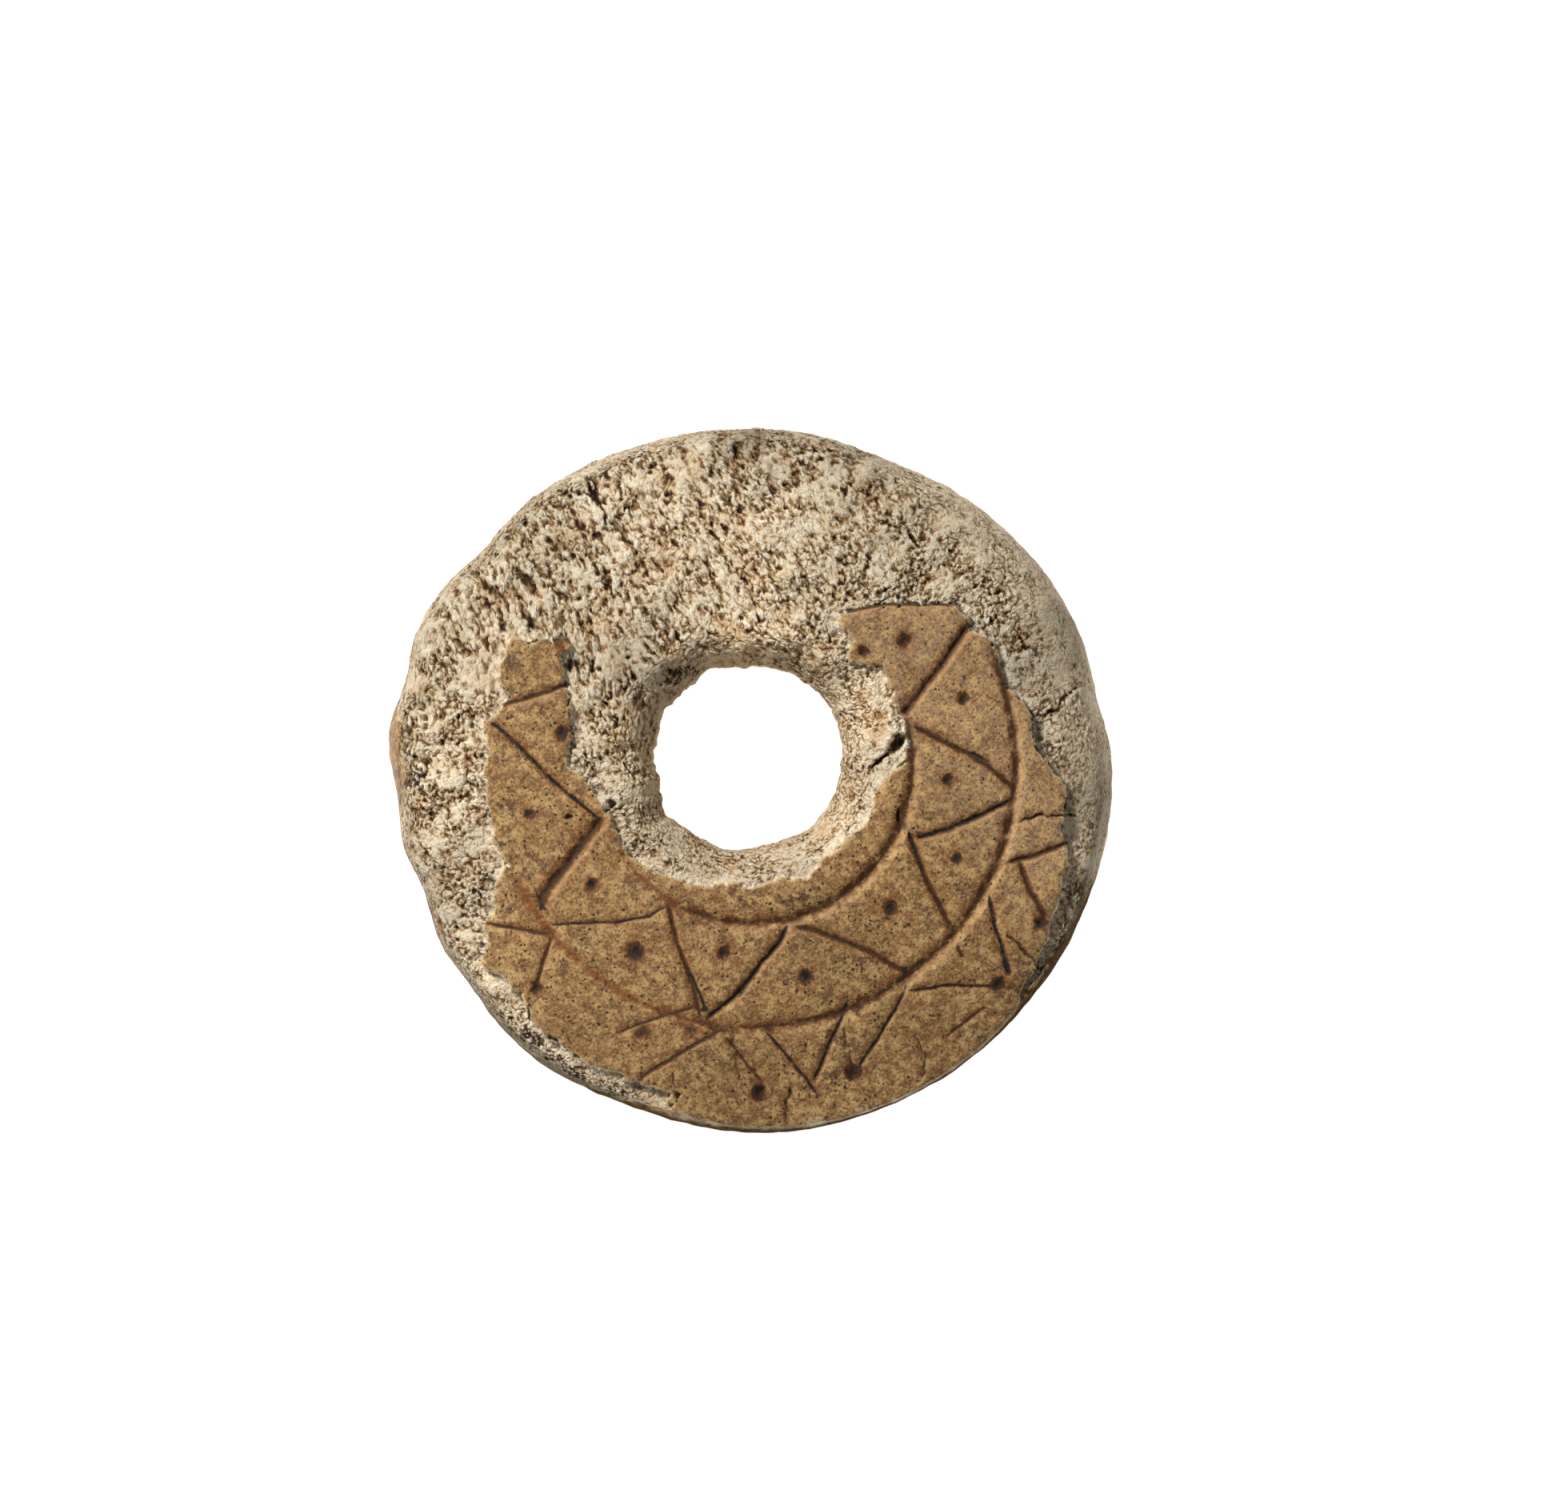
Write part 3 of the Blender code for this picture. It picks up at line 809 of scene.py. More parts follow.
                # Painted highlight on the stroke's wall that faces the light.
                turned = to_path(plan[near] - 0.5 * stroke.width * painted_highlight_side, stroke.path)[0]
                wall = ease(0.22 * stroke.width + 0.05, 0.0, np.abs(away - 0.55 * stroke.width))
                wall = self.stroke_painted_highlight * ends * wall * ease(0.0, 0.35 * stroke.width, away - turned)
                rubbed_and_painted_highlight[near] = np.maximum(rubbed_and_painted_highlight[near], wall)
        for dot in self.dots:
            away = np.hypot(plan[..., 0] - dot.x, plan[..., 1] - dot.y)
            cut = np.maximum(cut, dot.depth * np.exp(-((away / (0.75 * dot.radius)) ** 2)))
            spread = away * (1.0 + 0.25 * patchy) + 0.20 * ragged
            core = 0.95 * ease(1.12 * dot.radius, 0.72 * dot.radius, spread)
            halo = 0.24 * ease(1.9 * dot.radius, 0.8 * dot.radius, spread)
            umber_and_painted_shade = np.maximum(umber_and_painted_shade, dot.stain * (core + halo))
            rust = np.maximum(rust, 0.7 * ease(2.6 * dot.radius, 0.8 * dot.radius, spread))
            # Painted highlight on the dot's wall that faces the light.
            wall = plan - (dot.x, dot.y) - 1.05 * dot.radius * painted_highlight_side
            wall = ease(0.75 * dot.radius, 0.20 * dot.radius, np.hypot(wall[..., 0], wall[..., 1]))
            rubbed_and_painted_highlight = np.maximum(rubbed_and_painted_highlight, self.dot_painted_highlight * dot.depth * wall)
        for x, y, radius in self.blots:
            away = np.hypot(plan[..., 0] - x, plan[..., 1] - y) + 0.25 * patchy
            soot = np.maximum(soot, 0.75 * ease(1.5 * radius, 0.1 * radius, away))
        fields = (marks.cut, marks.soot, marks.rust, marks.umber_and_painted_shade, marks.rubbed_and_painted_highlight)
        for field, value in zip(fields, (cut, soot, rust, umber_and_painted_shade, rubbed_and_painted_highlight)):
            field[rows] = value
        return marks


@dataclass(frozen=True)
class Breaks:
    """Where the hard skin survives, and how far the broken bone lies below it.

    The skin's outline runs past the rim where no break shows from above. flank_skin is (angle,
    height up to which the skin survives), and soils are (path, reach, darkness).
    """

    skin: tuple = (
        (-14.75, 7.90), (-14.15, 7.40), (-13.65, 7.20), (-13.20, 7.50), (-12.40, 7.35), (-11.25, 7.70),
        (-11.05, 7.05), (-11.55, 6.55), (-11.60, 5.90), (-11.45, 4.55), (-11.10, 3.00), (-11.00, 1.45),
        (-11.40, 0.40), (-11.20, -0.45), (-10.55, -0.95), (-9.75, -1.70), (-9.25, -2.60), (-8.80, -3.35),
        (-8.35, -4.20), (-7.65, -5.85), (-6.55, -6.65), (-4.95, -7.45), (-3.35, -7.85), (-2.25, -7.95),
        (-0.65, -7.80), (0.20, -8.10), (1.15, -7.80), (2.10, -7.45), (3.70, -7.45), (4.50, -6.50),
        (5.65, -5.55), (6.75, -4.60), (7.55, -3.95), (7.85, -3.00), (8.00, -2.05), (8.65, -1.25),
        (9.25, -0.60), (9.95, -0.10), (10.05, 0.90), (9.85, 2.30), (9.50, 2.75), (9.15, 3.45),
        (9.05, 4.50), (8.70, 5.05), (8.35, 5.75), (7.30, 5.85), (6.50, 5.95), (6.30, 6.45),
        (6.60, 7.25), (6.15, 7.80), (5.60, 8.75), (5.95, 9.05), (6.95, 9.40), (8.10, 9.55),
        (11.70, 9.70), (12.80, 9.60), (13.75, 8.85), (13.75, 8.25), (14.45, 7.80), (15.25, 7.45),
        (15.60, 6.45), (15.95, 5.65), (16.05, 4.85), (16.50, 4.15), (17.20, 3.55), (17.85, 2.55),
        (18.00, 0.80), (18.70, 0.00), (19.00, -0.90), (19.75, -1.35), (19.80, -3.45), (19.60, -4.45),
        (20.05, -5.40), (20.05, -6.20), (19.80, -7.10), (19.70, -8.25), (19.35, -9.20), (18.90, -10.20),
        (18.80, -11.05), (18.35, -11.95), (18.05, -12.65), (18.00, -13.30), (17.40, -14.00), (17.05, -14.70),
        (17.05, -15.60), (18.25, -17.10), (10.75, -22.60), (3.25, -25.60), (-2.40, -25.60), (-2.40, -22.90),
        (-2.90, -21.95), (-3.15, -21.55), (-4.10, -21.20), (-4.85, -20.85), (-5.80, -20.60), (-7.05, -20.25),
        (-7.75, -20.00), (-8.60, -19.50), (-10.00, -19.30), (-11.00, -18.35), (-11.60, -17.90),
        (-12.50, -17.45), (-13.20, -16.55), (-13.65, -16.30), (-13.90, -15.40), (-14.20, -14.60),
        (-14.70, -14.60), (-15.05, -13.80), (-16.40, -13.20), (-16.85, -12.80), (-16.50, -12.30),
        (-16.30, -11.25), (-16.40, -10.35), (-16.05, -9.65), (-15.85, -8.40), (-15.70, -7.70),
        (-15.35, -7.25), (-15.05, -6.75), (-15.50, -6.10), (-15.70, -5.30), (-15.95, -5.20),
        (-16.10, -3.80), (-16.40, -2.65), (-16.45, -1.55), (-16.45, -1.00), (-16.35, 0.15),
        (-16.35, 1.40), (-16.45, 2.25), (-15.95, 2.75), (-15.30, 3.50), (-14.90, 3.80),
        (-15.40, 4.45), (-15.65, 5.05), (-15.65, 5.90), (-15.20, 6.50), (-15.10, 7.05),
    )  # fmt: skip
    flank_skin: tuple = (
        (0.0, 5.6), (30.0, 5.4), (60.0, 5.6), (75.0, 5.8), (105.0, 6.0), (150.0, 6.0), (170.0, 6.6),
        (175.0, 10.2), (184.0, 10.2), (188.0, 7.0), (210.0, 7.2), (225.0, 8.2), (250.0, 8.6),
        (262.0, 12.0), (295.0, 12.0), (308.0, 10.6), (330.0, 9.9), (342.0, 7.0),
    )  # fmt: skip
    step: float = 0.40
    fall: float = 1.10
    least_fall: float = 0.4
    lump: float = 0.128
    lump_spacing: float = 3.6
    shoulder_blend: float = 1.3
    shoulder_drop: float = 0.6
    ragged: float = 0.15
    chip_size: float = 0.62
    fray: float = 0.05
    fray_size: float = 0.25
    flank_fray: float = 2.2
    flank_wave: float = 0.35
    flank_wave_size: float = 1.6
    flank_turn: float = 1.5
    flank_turn_size: float = 4.0
    furthest: float = 2.0
    edge: float = 0.06
    hollows: tuple = (
        Hollow(9.35, 0.95, 0.95, 0.62, 55.0, 1.10, 0.25),
        Hollow(8.30, 0.00, 1.30, 0.22, 38.0, 0.60, 0.36),
        Hollow(9.35, -3.55, 0.55, 0.17, 96.0, 0.60, 0.36),
        Hollow(-11.20, -3.65, 0.32, 0.24, 20.0, 0.35, 0.48),
        Hollow(-8.50, -2.85, 0.42, 0.30, 75.0, 0.60, 0.30),
        Hollow(-10.90, 5.75, 0.85, 0.55, -12.0, 0.40, 0.35),
        Hollow(-9.80, 5.65, 0.60, 0.24, 82.0, 0.40, 0.35),
        Hollow(-7.60, 4.35, 0.70, 0.30, 40.0, 0.30, 0.25),
        Hollow(-4.60, 5.10, 0.85, 0.50, 40.0, 0.40, 0.45),
        Hollow(-13.90, 11.05, 1.60, 0.50, -48.0, 0.45, 0.10),
        Hollow(-8.75, 11.40, 1.10, 0.36, -80.0, 0.40, 0.10),
    )  # fmt: skip
    soils: tuple = (
        (((-14.00, -17.20), (-13.30, -17.90), (-12.20, -18.80), (-10.60, -19.80)), 0.75, 0.52),
        (((-9.50, -20.30), (-7.60, -21.10)), 0.45, 0.40),
        (((-20.60, -1.20), (-19.80, -2.20)), 1.10, 0.35),
        (((-16.60, -7.40), (-16.90, -8.60)), 0.60, 0.35),
        (((-2.40, 10.40), (-2.80, 10.20)), 0.60, 0.30),
        (((-4.60, 4.90), (-3.60, 5.60)), 0.80, 0.45),
        (((-8.10, 17.30), (-6.50, 18.60)), 1.20, 0.20),
    )

    def floor(self, blank: Blank, sheet: Sheet) -> np.ndarray:
        """Height of the broken surface: under the dome by a step and a fall that grows to the rim.

        The lumps are two crossed waves of the spacing between them, and the fall is greater on
        the rim's worn side.

        Args:
            blank: the unbroken disc.
            sheet: its surface.

        Returns:
            A height for each place.
        """
        x, y = sheet.points[..., 0], sheet.points[..., 1]
        radius = np.hypot(x, y)
        wave = 2.0 * math.pi / self.lump_spacing
        lumps = np.sin(wave * x + 1.3) * np.cos(0.83 * wave * y) + 0.6 * np.sin(wave * (0.6 * x - y))
        toward = self.least_fall + (1.0 - self.least_fall) * blank.toward_worn_side(sheet.angle)
        fall = self.fall * (radius / blank.rim_r) ** 3 * toward
        return blank.dome(radius) - self.step - fall + self.lump * lumps

    def broken(self, blank: Blank, sheet: Sheet) -> Sheet:
        """The disc as if it had lost its skin everywhere: its top is cut down to the floor.

        Args:
            blank: the unbroken disc.
            sheet: its surface.

        Returns:
            The lowered surface, with the shoulder rounded where the cut meets the flank.
        """
        points = sheet.points.copy()
        floor = self.floor(blank, sheet)
        share = np.clip(0.5 + 0.5 * (floor - points[..., 2]) / self.shoulder_blend, 0.0, 1.0)
        rounding = self.shoulder_blend * share * (1.0 - share) * self.shoulder_drop
        lowered = mixed(floor, points[..., 2], share) - rounding
        upper = np.isin(sheet.zone, (Zone.FLANK, Zone.FACE, Zone.FUNNEL))
        points[upper, :, 2] = lowered[upper]
        return Sheet(points, sheet.angle, sheet.zone)

    def surviving(self, sheet: Sheet) -> np.ndarray:
        """Distance into the surviving skin, above 0 on it, from an outline broken into small chips.

        Args:
            sheet: the unbroken surface.

        Returns:
            Signed distance in millimetres, no further than the furthest either way.
        """
        points = sheet.points
        _, _, chips = crumbs(points, self.chip_size, SEED + 5)
        fray = self.ragged * (2.0 * chips - 1.0) + self.fray * noise(points, self.fray_size, SEED + 6)
        inside = inside_outline(points[..., :2], self.skin)
        turn = sheet.angle + self.flank_turn * noise(points, self.flank_turn_size, SEED + 7)
        low = by_angle(turn, self.flank_skin) - points[..., 2] + self.flank_fray * fray
        low = low + self.flank_wave * noise(points, self.flank_wave_size, SEED + 8)
        hidden = np.isin(sheet.zone, (Zone.FUNNEL, Zone.BORE, Zone.MOUTH))[:, None]
        top = np.isin(sheet.zone, (Zone.FACE, Zone.FLANK, Zone.FUNNEL))[:, None]
        low = np.where(hidden, -self.furthest, low)
        inside = np.where(top, inside + fray, -self.furthest)
        return np.clip(np.maximum(inside, low), -self.furthest, self.furthest)

    def dents(self, plan: np.ndarray) -> tuple[np.ndarray, np.ndarray]:
        """Depth and darkness of the open cells and chips, oval bowls with steep sides, and of soil; the
        darkness in the cells is dirt with painted shade.

        Args:
            plan: plan places.

        Returns:
            The depth in millimetres and the darkness from 0 to 1.
        """
        depth = np.zeros(plan.shape[:-1], np.float32)
        dark = np.zeros(plan.shape[:-1], np.float32)
        for hollow in self.hollows:
            turn = math.radians(hollow.turn)
            x, y = plan[..., 0] - hollow.x, plan[..., 1] - hollow.y
            along = (x * math.cos(turn) + y * math.sin(turn)) / hollow.long
            across = (y * math.cos(turn) - x * math.sin(turn)) / hollow.wide
            bowl = ease(1.0, 0.25, np.hypot(along, across))
            depth = np.maximum(depth, hollow.depth * bowl)
            # Painted shade with dirt: each dent is darkened inside.
            dark = np.maximum(dark, hollow.dark * ease(1.15, 0.5, np.hypot(along, across)))
        for path, reach, black in self.soils:
            away, _ = to_path(plan, path)
            dark = np.maximum(dark, black * ease(reach, 0.2 * reach, away))
        return depth, dark


# The two kinds of surface: the spongy bone of the breaks and the hard skin.


@dataclass(frozen=True)
class SpongyRelief:
    """The texture of the broken bone: crumbs with narrow gaps, outward fissures and open cells.

    fibrous, fissured and strength are (angle, share), for how far the cells are drawn out along
    the fibres, how deep the fissures are cut and how strong the whole texture is there.
    """

    lumps: tuple = ((0.11, 1.7), (0.055, 0.85))
    bend: float = 0.17
    bend_size: float = 0.5
    fibre_way: float = 118.0
    fibrous: tuple = (
        (50.0, 0.0), (80.0, 0.25), (105.0, 0.42), (140.0, 0.44), (165.0, 0.20), (200.0, 0.0),
    )  # fmt: skip
    crumb_size: float = 0.38
    crumb_gap: float = 0.12
    crumb_lift: float = 0.095
    grit_size: float = 0.22
    grit_gap: float = 0.09
    grit_lift: float = 0.09
    gap_width: float = 0.21
    fissure_size: float = 0.95
    fissure_width: float = 0.10
    fissure_stretch: float = 4.0
    fissure_depth: float = 0.22
    fissure_swirl: float = 0.8
    fissure_swirl_size: float = 5.0
    fissured: tuple = (
        (60.0, 0.35), (100.0, 0.7), (120.0, 1.35), (150.0, 1.35), (170.0, 0.5), (250.0, 0.3), (360.0, 0.3),
    )  # fmt: skip
    patch_size: float = 1.9
    patch_depth: float = 0.05
    cell_spacing: float = 0.70
    cell_share: float = 0.42
    cell_widths: tuple = (0.10, 0.24)
    cell_depth: float = 0.30
    dust: float = 0.04
    dust_size: float = 0.18
    strength: tuple = (
        (0.0, 0.95), (20.0, 1.05), (50.0, 1.1), (90.0, 1.0), (130.0, 1.0), (155.0, 1.1), (180.0, 1.2),
        (205.0, 1.0), (225.0, 0.55), (260.0, 0.6), (330.0, 0.8),
    )  # fmt: skip
    steep_share: float = 0.45
    funnel_share: float = 0.50
    smooth_share: float = 0.50
    open_share: float = 1.05
    worn_loss: float = 0.55
    worn_lump_loss: float = 0.6

    def patch(self, points: np.ndarray) -> np.ndarray:
        """Above 0 where the broken bone is closed and smooth, and below 0 where it is open."""
        return fractal(points, self.patch_size, SEED + 24, 3, 0.65)

    def bent(self, points: np.ndarray) -> np.ndarray:
        """The places as the bone's cells are laid out: uneven, and drawn out along the fibres.

        A noise shifts each place, then its distance along the fibres is cut by a share that
        turns on with the heading, so cells of even size there come out long.

        Args:
            points: places in millimetres.

        Returns:
            The shifted places.
        """
        places = points + self.bend * np.stack(
            [noise(points, self.bend_size, SEED + k) for k in (20, 21, 22)], axis=-1
        )
        heading = np.degrees(np.arctan2(points[..., 1], points[..., 0]))
        way = np.array([np.cos(np.radians(self.fibre_way)), np.sin(np.radians(self.fibre_way)), 0.0])
        return places - (by_angle(heading, self.fibrous) * (places @ way))[..., None] * way

    def height(self, sheet: Sheet, up: np.ndarray, worn: np.ndarray) -> np.ndarray:
        """Relief of the broken bone along its normal, in millimetres.

        Two sizes of crumbs each stand up by a height of their own, less a narrow groove of
        exp(-(g / width)^2) where g is 0 midway between two crumbs, and a pit where crumbs meet.
        Fissures are streaks that run out from the hole, and are cut on upward faces only. A slow
        noise leaves smoother patches between.

        Args:
            sheet: the broken surface.
            up: how much each place faces up, 0 to 1.
            worn: how much each place is worn smooth.

        Returns:
            The relief, below 0 in the gaps and cells.
        """
        points = sheet.points
        warped = self.bent(points)
        swirl = self.fissure_swirl * noise(points, self.fissure_swirl_size, SEED + 23)
        heading = np.radians(sheet.angle) + swirl
        along = np.stack([np.cos(heading), np.sin(heading)], axis=-1)
        patch = self.patch(points)
        broken_open = mixed(self.smooth_share, self.open_share, ease(0.60, -0.20, patch))
        strength = by_angle(sheet.angle, self.strength) * (1.0 - self.worn_loss * worn)
        strength = strength * np.where(sheet.zone == Zone.FUNNEL, self.funnel_share, 1.0)[:, None]
        strength = strength * mixed(self.steep_share, 1.0, up) * broken_open
        relief = self.patch_depth * np.clip(patch, -1.0, 0.6)
        crumbled = (
            (self.crumb_size, self.crumb_gap, self.crumb_lift, SEED + 26),
            (self.grit_size, self.grit_gap, self.grit_lift, SEED + 28),
        )
        for size, gap, lift, seed in crumbled:
            between, reach, own = crumbs(warped, size, seed)
            relief += lift * (own - 0.5) * ease(0.0, 0.35, between)
            groove = 0.55 * np.exp(-((between / self.gap_width) ** 2))
            relief -= gap * (groove + 1.2 * ease(0.50, 0.85, reach))
        streaks = grain(
            warped[..., :2], along, self.fissure_size, self.fissure_width, self.fissure_stretch, SEED + 25
        )
        fissures = self.fissure_depth * by_angle(sheet.angle, self.fissured)
        relief -= fissures * up * np.clip(-streaks, 0.0, 1.0)
        holes = open_cells(warped, self.cell_spacing, self.cell_share, self.cell_widths, SEED + 29)
        relief -= self.cell_depth * np.sqrt(np.clip(holes, 0.0, 1.0))
        relief += self.dust * noise(points, self.dust_size, SEED + 31)
        relief *= strength
        for depth, size in self.lumps:
            relief += (1.0 - self.worn_lump_loss * worn) * depth * noise(points, size, SEED + 30)
        return relief


@dataclass(frozen=True)
class SkinRelief:
    """The texture of the hard skin: slow swells, a fine tooth and an edge worn down."""

    swells: tuple = ((0.050, 2.8), (0.022, 1.0), (0.012, 0.38))
    rubbed_and_painted_highlight: float = 0.05
    rubbed_width: float = 0.20

    def height(self, sheet: Sheet, inside: np.ndarray) -> np.ndarray:
        """Relief of the skin along its normal: three sizes of noise, less a fall at its edge.

        Args:
            sheet: the unbroken surface.
            inside: distance into the skin.

        Returns:
            The relief in millimetres.
        """
        relief = np.zeros(sheet.points.shape[:2], np.float32)
        for depth, size in self.swells:
            relief += depth * noise(sheet.points, size, SEED + 40)
        return relief - self.rubbed_and_painted_highlight * np.exp(-np.clip(inside, 0.0, None) / self.rubbed_width)


# Finishes and the material.


@dataclass(frozen=True)
class HardBone:
    """Compact bone polished by handling: golden brown, marbled, specked, with a low sheen.

    Tan is the lit wall of a cut, and edge is the skin's chipped margin.
    """

    pale: str = "#D3AD71"
    mid: str = "#926A3F"
    deep: str = "#62432A"
    rose: str = "#A78564"
    speck: str = "#2A1A0D"
    spot: str = "#62401F"
    edge: str = "#DCC496"
    tan: str = "#DEB179"
    rough: float = 0.60


@dataclass(frozen=True)
class SpongyBone:
    """Cancellous bone laid open by wear: chalky cream, painted paler on its crests, with earth and painted
    shade in its gaps, fully matt.
    """

    crest: str = "#E8DBC3"
    body: str = "#D7C3A1"
    wall: str = "#9A7A54"
    depth: str = "#3F2713"
    earth: str = "#DDB680"
    crushed: str = "#EFE1C6"
    rubbed_and_painted_highlight: str = "#BDAC8F"
    rough: float = 0.88


@dataclass(frozen=True)
class Fillings:
    """What lies in the cuts: soot, rusty earth, a brown stain and its darkest parts. The brown stain also
    serves as painted shade on the rings' shadowed walls, in dents and in low places.
    """

    soot: str = "#201C19"
    rust: str = "#874B1F"
    umber_and_painted_shade: str = "#452A14"
    pitch: str = "#20130A"


def add(tree: bpy.types.NodeTree, kind: str, inputs: dict | None = None, **settings) -> bpy.types.Node:
    """Adds a shader node with its settings and links.

    A Map Range node's inputs 1 and 2 are the values that its output runs between, and inputs 3
    and 4, 0 and 1 if they aren't given, are what it gives there. A colour Mix node's inputs are
    0 for the share, 6 for the first colour and 7 for the second.

    Args:
        tree: the node tree.
        kind: the node's type.
        inputs: for an input's name or number, either a value or the output that feeds it.
        **settings: properties of the node.

    Returns:
        The node.
    """
    node = tree.nodes.new(kind)
    for name, value in settings.items():
        setattr(node, name, value)
    for name, value in (inputs or {}).items():
        if isinstance(value, bpy.types.NodeSocket):
            tree.links.new(value, node.inputs[name])
        else:
            node.inputs[name].default_value = value
    return node


@dataclass(frozen=True)
class BoneMaterial:
    """Old bone, ground to shape and worn by handling and burial: hard skin and spongy breaks.

    The eye sees a brown skin with a low sheen, which fades where the colour factor of own patches
    and painted light and shade is dark, beside matt chalky breaks.
    """

    # Some of these carry painted light and shade: the lighter and darker spots, the brown stain, the pale cut
    # walls and the relative height.
    attributes: tuple = (
        "skin", "level", "soot", "rust", "umber_and_painted_shade", "rubbed_and_painted_highlight",
        "worn", "tone_and_painted_light", "rose", "patch", "marble", "stain",
    )  # fmt: skip
    skin: HardBone = HardBone()
    sponge: SpongyBone = SpongyBone()
    fill: Fillings = Fillings()
    grit_height: float = 0.055 * MM
    worn_grit: float = 0.6
    tooth_height: float = 0.035 * MM

    def build(self) -> bpy.types.Material:
        """Makes the material from the piece's attributes and noise in Object coordinates.

        Returns:
            The material.
        """
        material = bpy.data.materials.new("old_bone_ground_and_worn")
        material.use_nodes = True
        tree = material.node_tree
        tree.nodes.clear()
        out = add(tree, "ShaderNodeOutputMaterial")
        place = add(tree, "ShaderNodeTexCoord").outputs["Object"]
        held = {
            name: add(tree, "ShaderNodeAttribute", attribute_name=name).outputs["Fac"]
            for name in self.attributes
        }
        bent = add(tree, "ShaderNodeAttribute", attribute_name="bent").outputs["Vector"]
        fray = add(tree, "ShaderNodeTexNoise", {"Vector": place, "Scale": 1.0 / (0.20 * MM), "Detail": 1.0})
        frayed = add(
            tree,
            "ShaderNodeMath",
            {0: fray.outputs["Fac"], 1: 0.16, 2: held["skin"]},
            operation="MULTIPLY_ADD",
        ).outputs[0]
        on_skin = add(tree, "ShaderNodeMapRange", {0: frayed, 1: 0.06, 2: 0.10}).outputs[0]
        cracks = self.cracks(tree, bent, held["marble"])
        tooth = self.tooth(tree, place)
        grit = self.grit(tree, bent, held["patch"])
        hard = self.hard_colour(tree, place, {**held, "frayed": frayed, "cracks": cracks, "tooth": tooth})
        soft = self.soft_colour(tree, {**held, "grit": grit})
        colour = add(tree, "ShaderNodeMix", {0: on_skin, 6: soft, 7: hard}, data_type="RGBA")
        # The colour is multiplied by the bone's own patches with painted light and shade, and painted shade
        # on the flank.
        toned = add(
            tree,
            "ShaderNodeMix",
            {0: 1.0, 6: colour.outputs[2], 7: held["tone_and_painted_light"]},
            data_type="RGBA",
            blend_type="MULTIPLY",
        )
        rough = add(tree, "ShaderNodeMapRange", {0: on_skin, 3: self.sponge.rough, 4: self.skin.rough})
        sheen = add(tree, "ShaderNodeMapRange", {0: held["tone_and_painted_light"], 1: 0.35, 2: 0.9, 3: 0.0, 4: 0.28})
        shader = add(
            tree,
            "ShaderNodeBsdfPrincipled",
            {
                "Base Color": toned.outputs[2],
                "Roughness": rough.outputs[0],
                "IOR": 1.5,
                "Specular IOR Level": sheen.outputs[0],
                "Normal": self.bump(tree, on_skin, {**held, "tooth": tooth, "grit": grit}),
            },
        )
        tree.links.new(shader.outputs[0], out.inputs["Surface"])
        return material

    def cracks(
        self, tree: bpy.types.NodeTree, bent: bpy.types.NodeSocket, marble: bpy.types.NodeSocket
    ) -> bpy.types.NodeSocket:
        """Short curved drying cracks, hair-fine: pieces of the walls between wide warped cells.

        Args:
            tree: the node tree.
            bent: warped Object coordinates.
            marble: a slow noise that lets the cracks show in places only.

        Returns:
            1 in the cracks and 0 off them.
        """
        cells = add(
            tree,
            "ShaderNodeTexVoronoi",
            {"Vector": bent, "Scale": 1.0 / (1.2 * MM)},
            feature="DISTANCE_TO_EDGE",
        )
        line = add(tree, "ShaderNodeMapRange", {0: cells.outputs["Distance"], 1: 0.030, 2: 0.010}).outputs[0]
        kept = add(tree, "ShaderNodeMapRange", {0: marble, 1: 0.36, 2: 0.48}).outputs[0]
        return add(tree, "ShaderNodeMath", {0: line, 1: kept}, operation="MULTIPLY").outputs[0]

    def tooth(self, tree: bpy.types.NodeTree, place: bpy.types.NodeSocket) -> bpy.types.NodeSocket:
        """The skin's close grain, 0.2 mm across and finer, from 0 to 1.

        Args:
            tree: the node tree.
            place: Object coordinates.

        Returns:
            The grain's output.
        """
        close = add(
            tree,
            "ShaderNodeTexNoise",
            {"Vector": place, "Scale": 1.0 / (0.19 * MM), "Detail": 3.0, "Roughness": 0.68},
        )
        return add(tree, "ShaderNodeMapRange", {0: close.outputs["Fac"], 1: 0.30, 2: 0.70}).outputs[0]

    def grit(
        self, tree: bpy.types.NodeTree, bent: bpy.types.NodeSocket, patch: bpy.types.NodeSocket
    ) -> bpy.types.NodeSocket:
        """Height of the finest crumbs of the spongy bone, 0.1 to 0.3 mm wide, from -2.3 to 1.2.

        Each cell of a warped pattern is a rounded crumb that falls off from its middle, so pits
        lie where cells meet. They close up in the smooth patches, and a fine noise roughens all.

        Args:
            tree: the node tree.
            bent: warped Object coordinates.
            patch: above 0 where the bone is smooth.

        Returns:
            The height's output.
        """
        cells = add(tree, "ShaderNodeTexVoronoi", {"Vector": bent, "Scale": 1.0 / (0.25 * MM)})
        away = cells.outputs["Distance"]
        crumb = add(tree, "ShaderNodeMapRange", {0: away, 1: 0.30, 2: 0.80, 3: 0.35, 4: -1.4})
        kept = add(tree, "ShaderNodeMapRange", {0: patch, 1: 0.5, 2: -0.2, 3: 0.25, 4: 1.0})
        dust = add(
            tree,
            "ShaderNodeTexNoise",
            {"Vector": bent, "Scale": 1.0 / (0.24 * MM), "Detail": 2.0, "Roughness": 0.7},
        ).outputs["Fac"]
        dusty = add(tree, "ShaderNodeMapRange", {0: dust, 1: 0.30, 2: 0.70, 3: -0.9, 4: 0.8})
        return add(
            tree,
            "ShaderNodeMath",
            {0: crumb.outputs[0], 1: kept.outputs[0], 2: dusty.outputs[0]},
            operation="MULTIPLY_ADD",
        ).outputs[0]

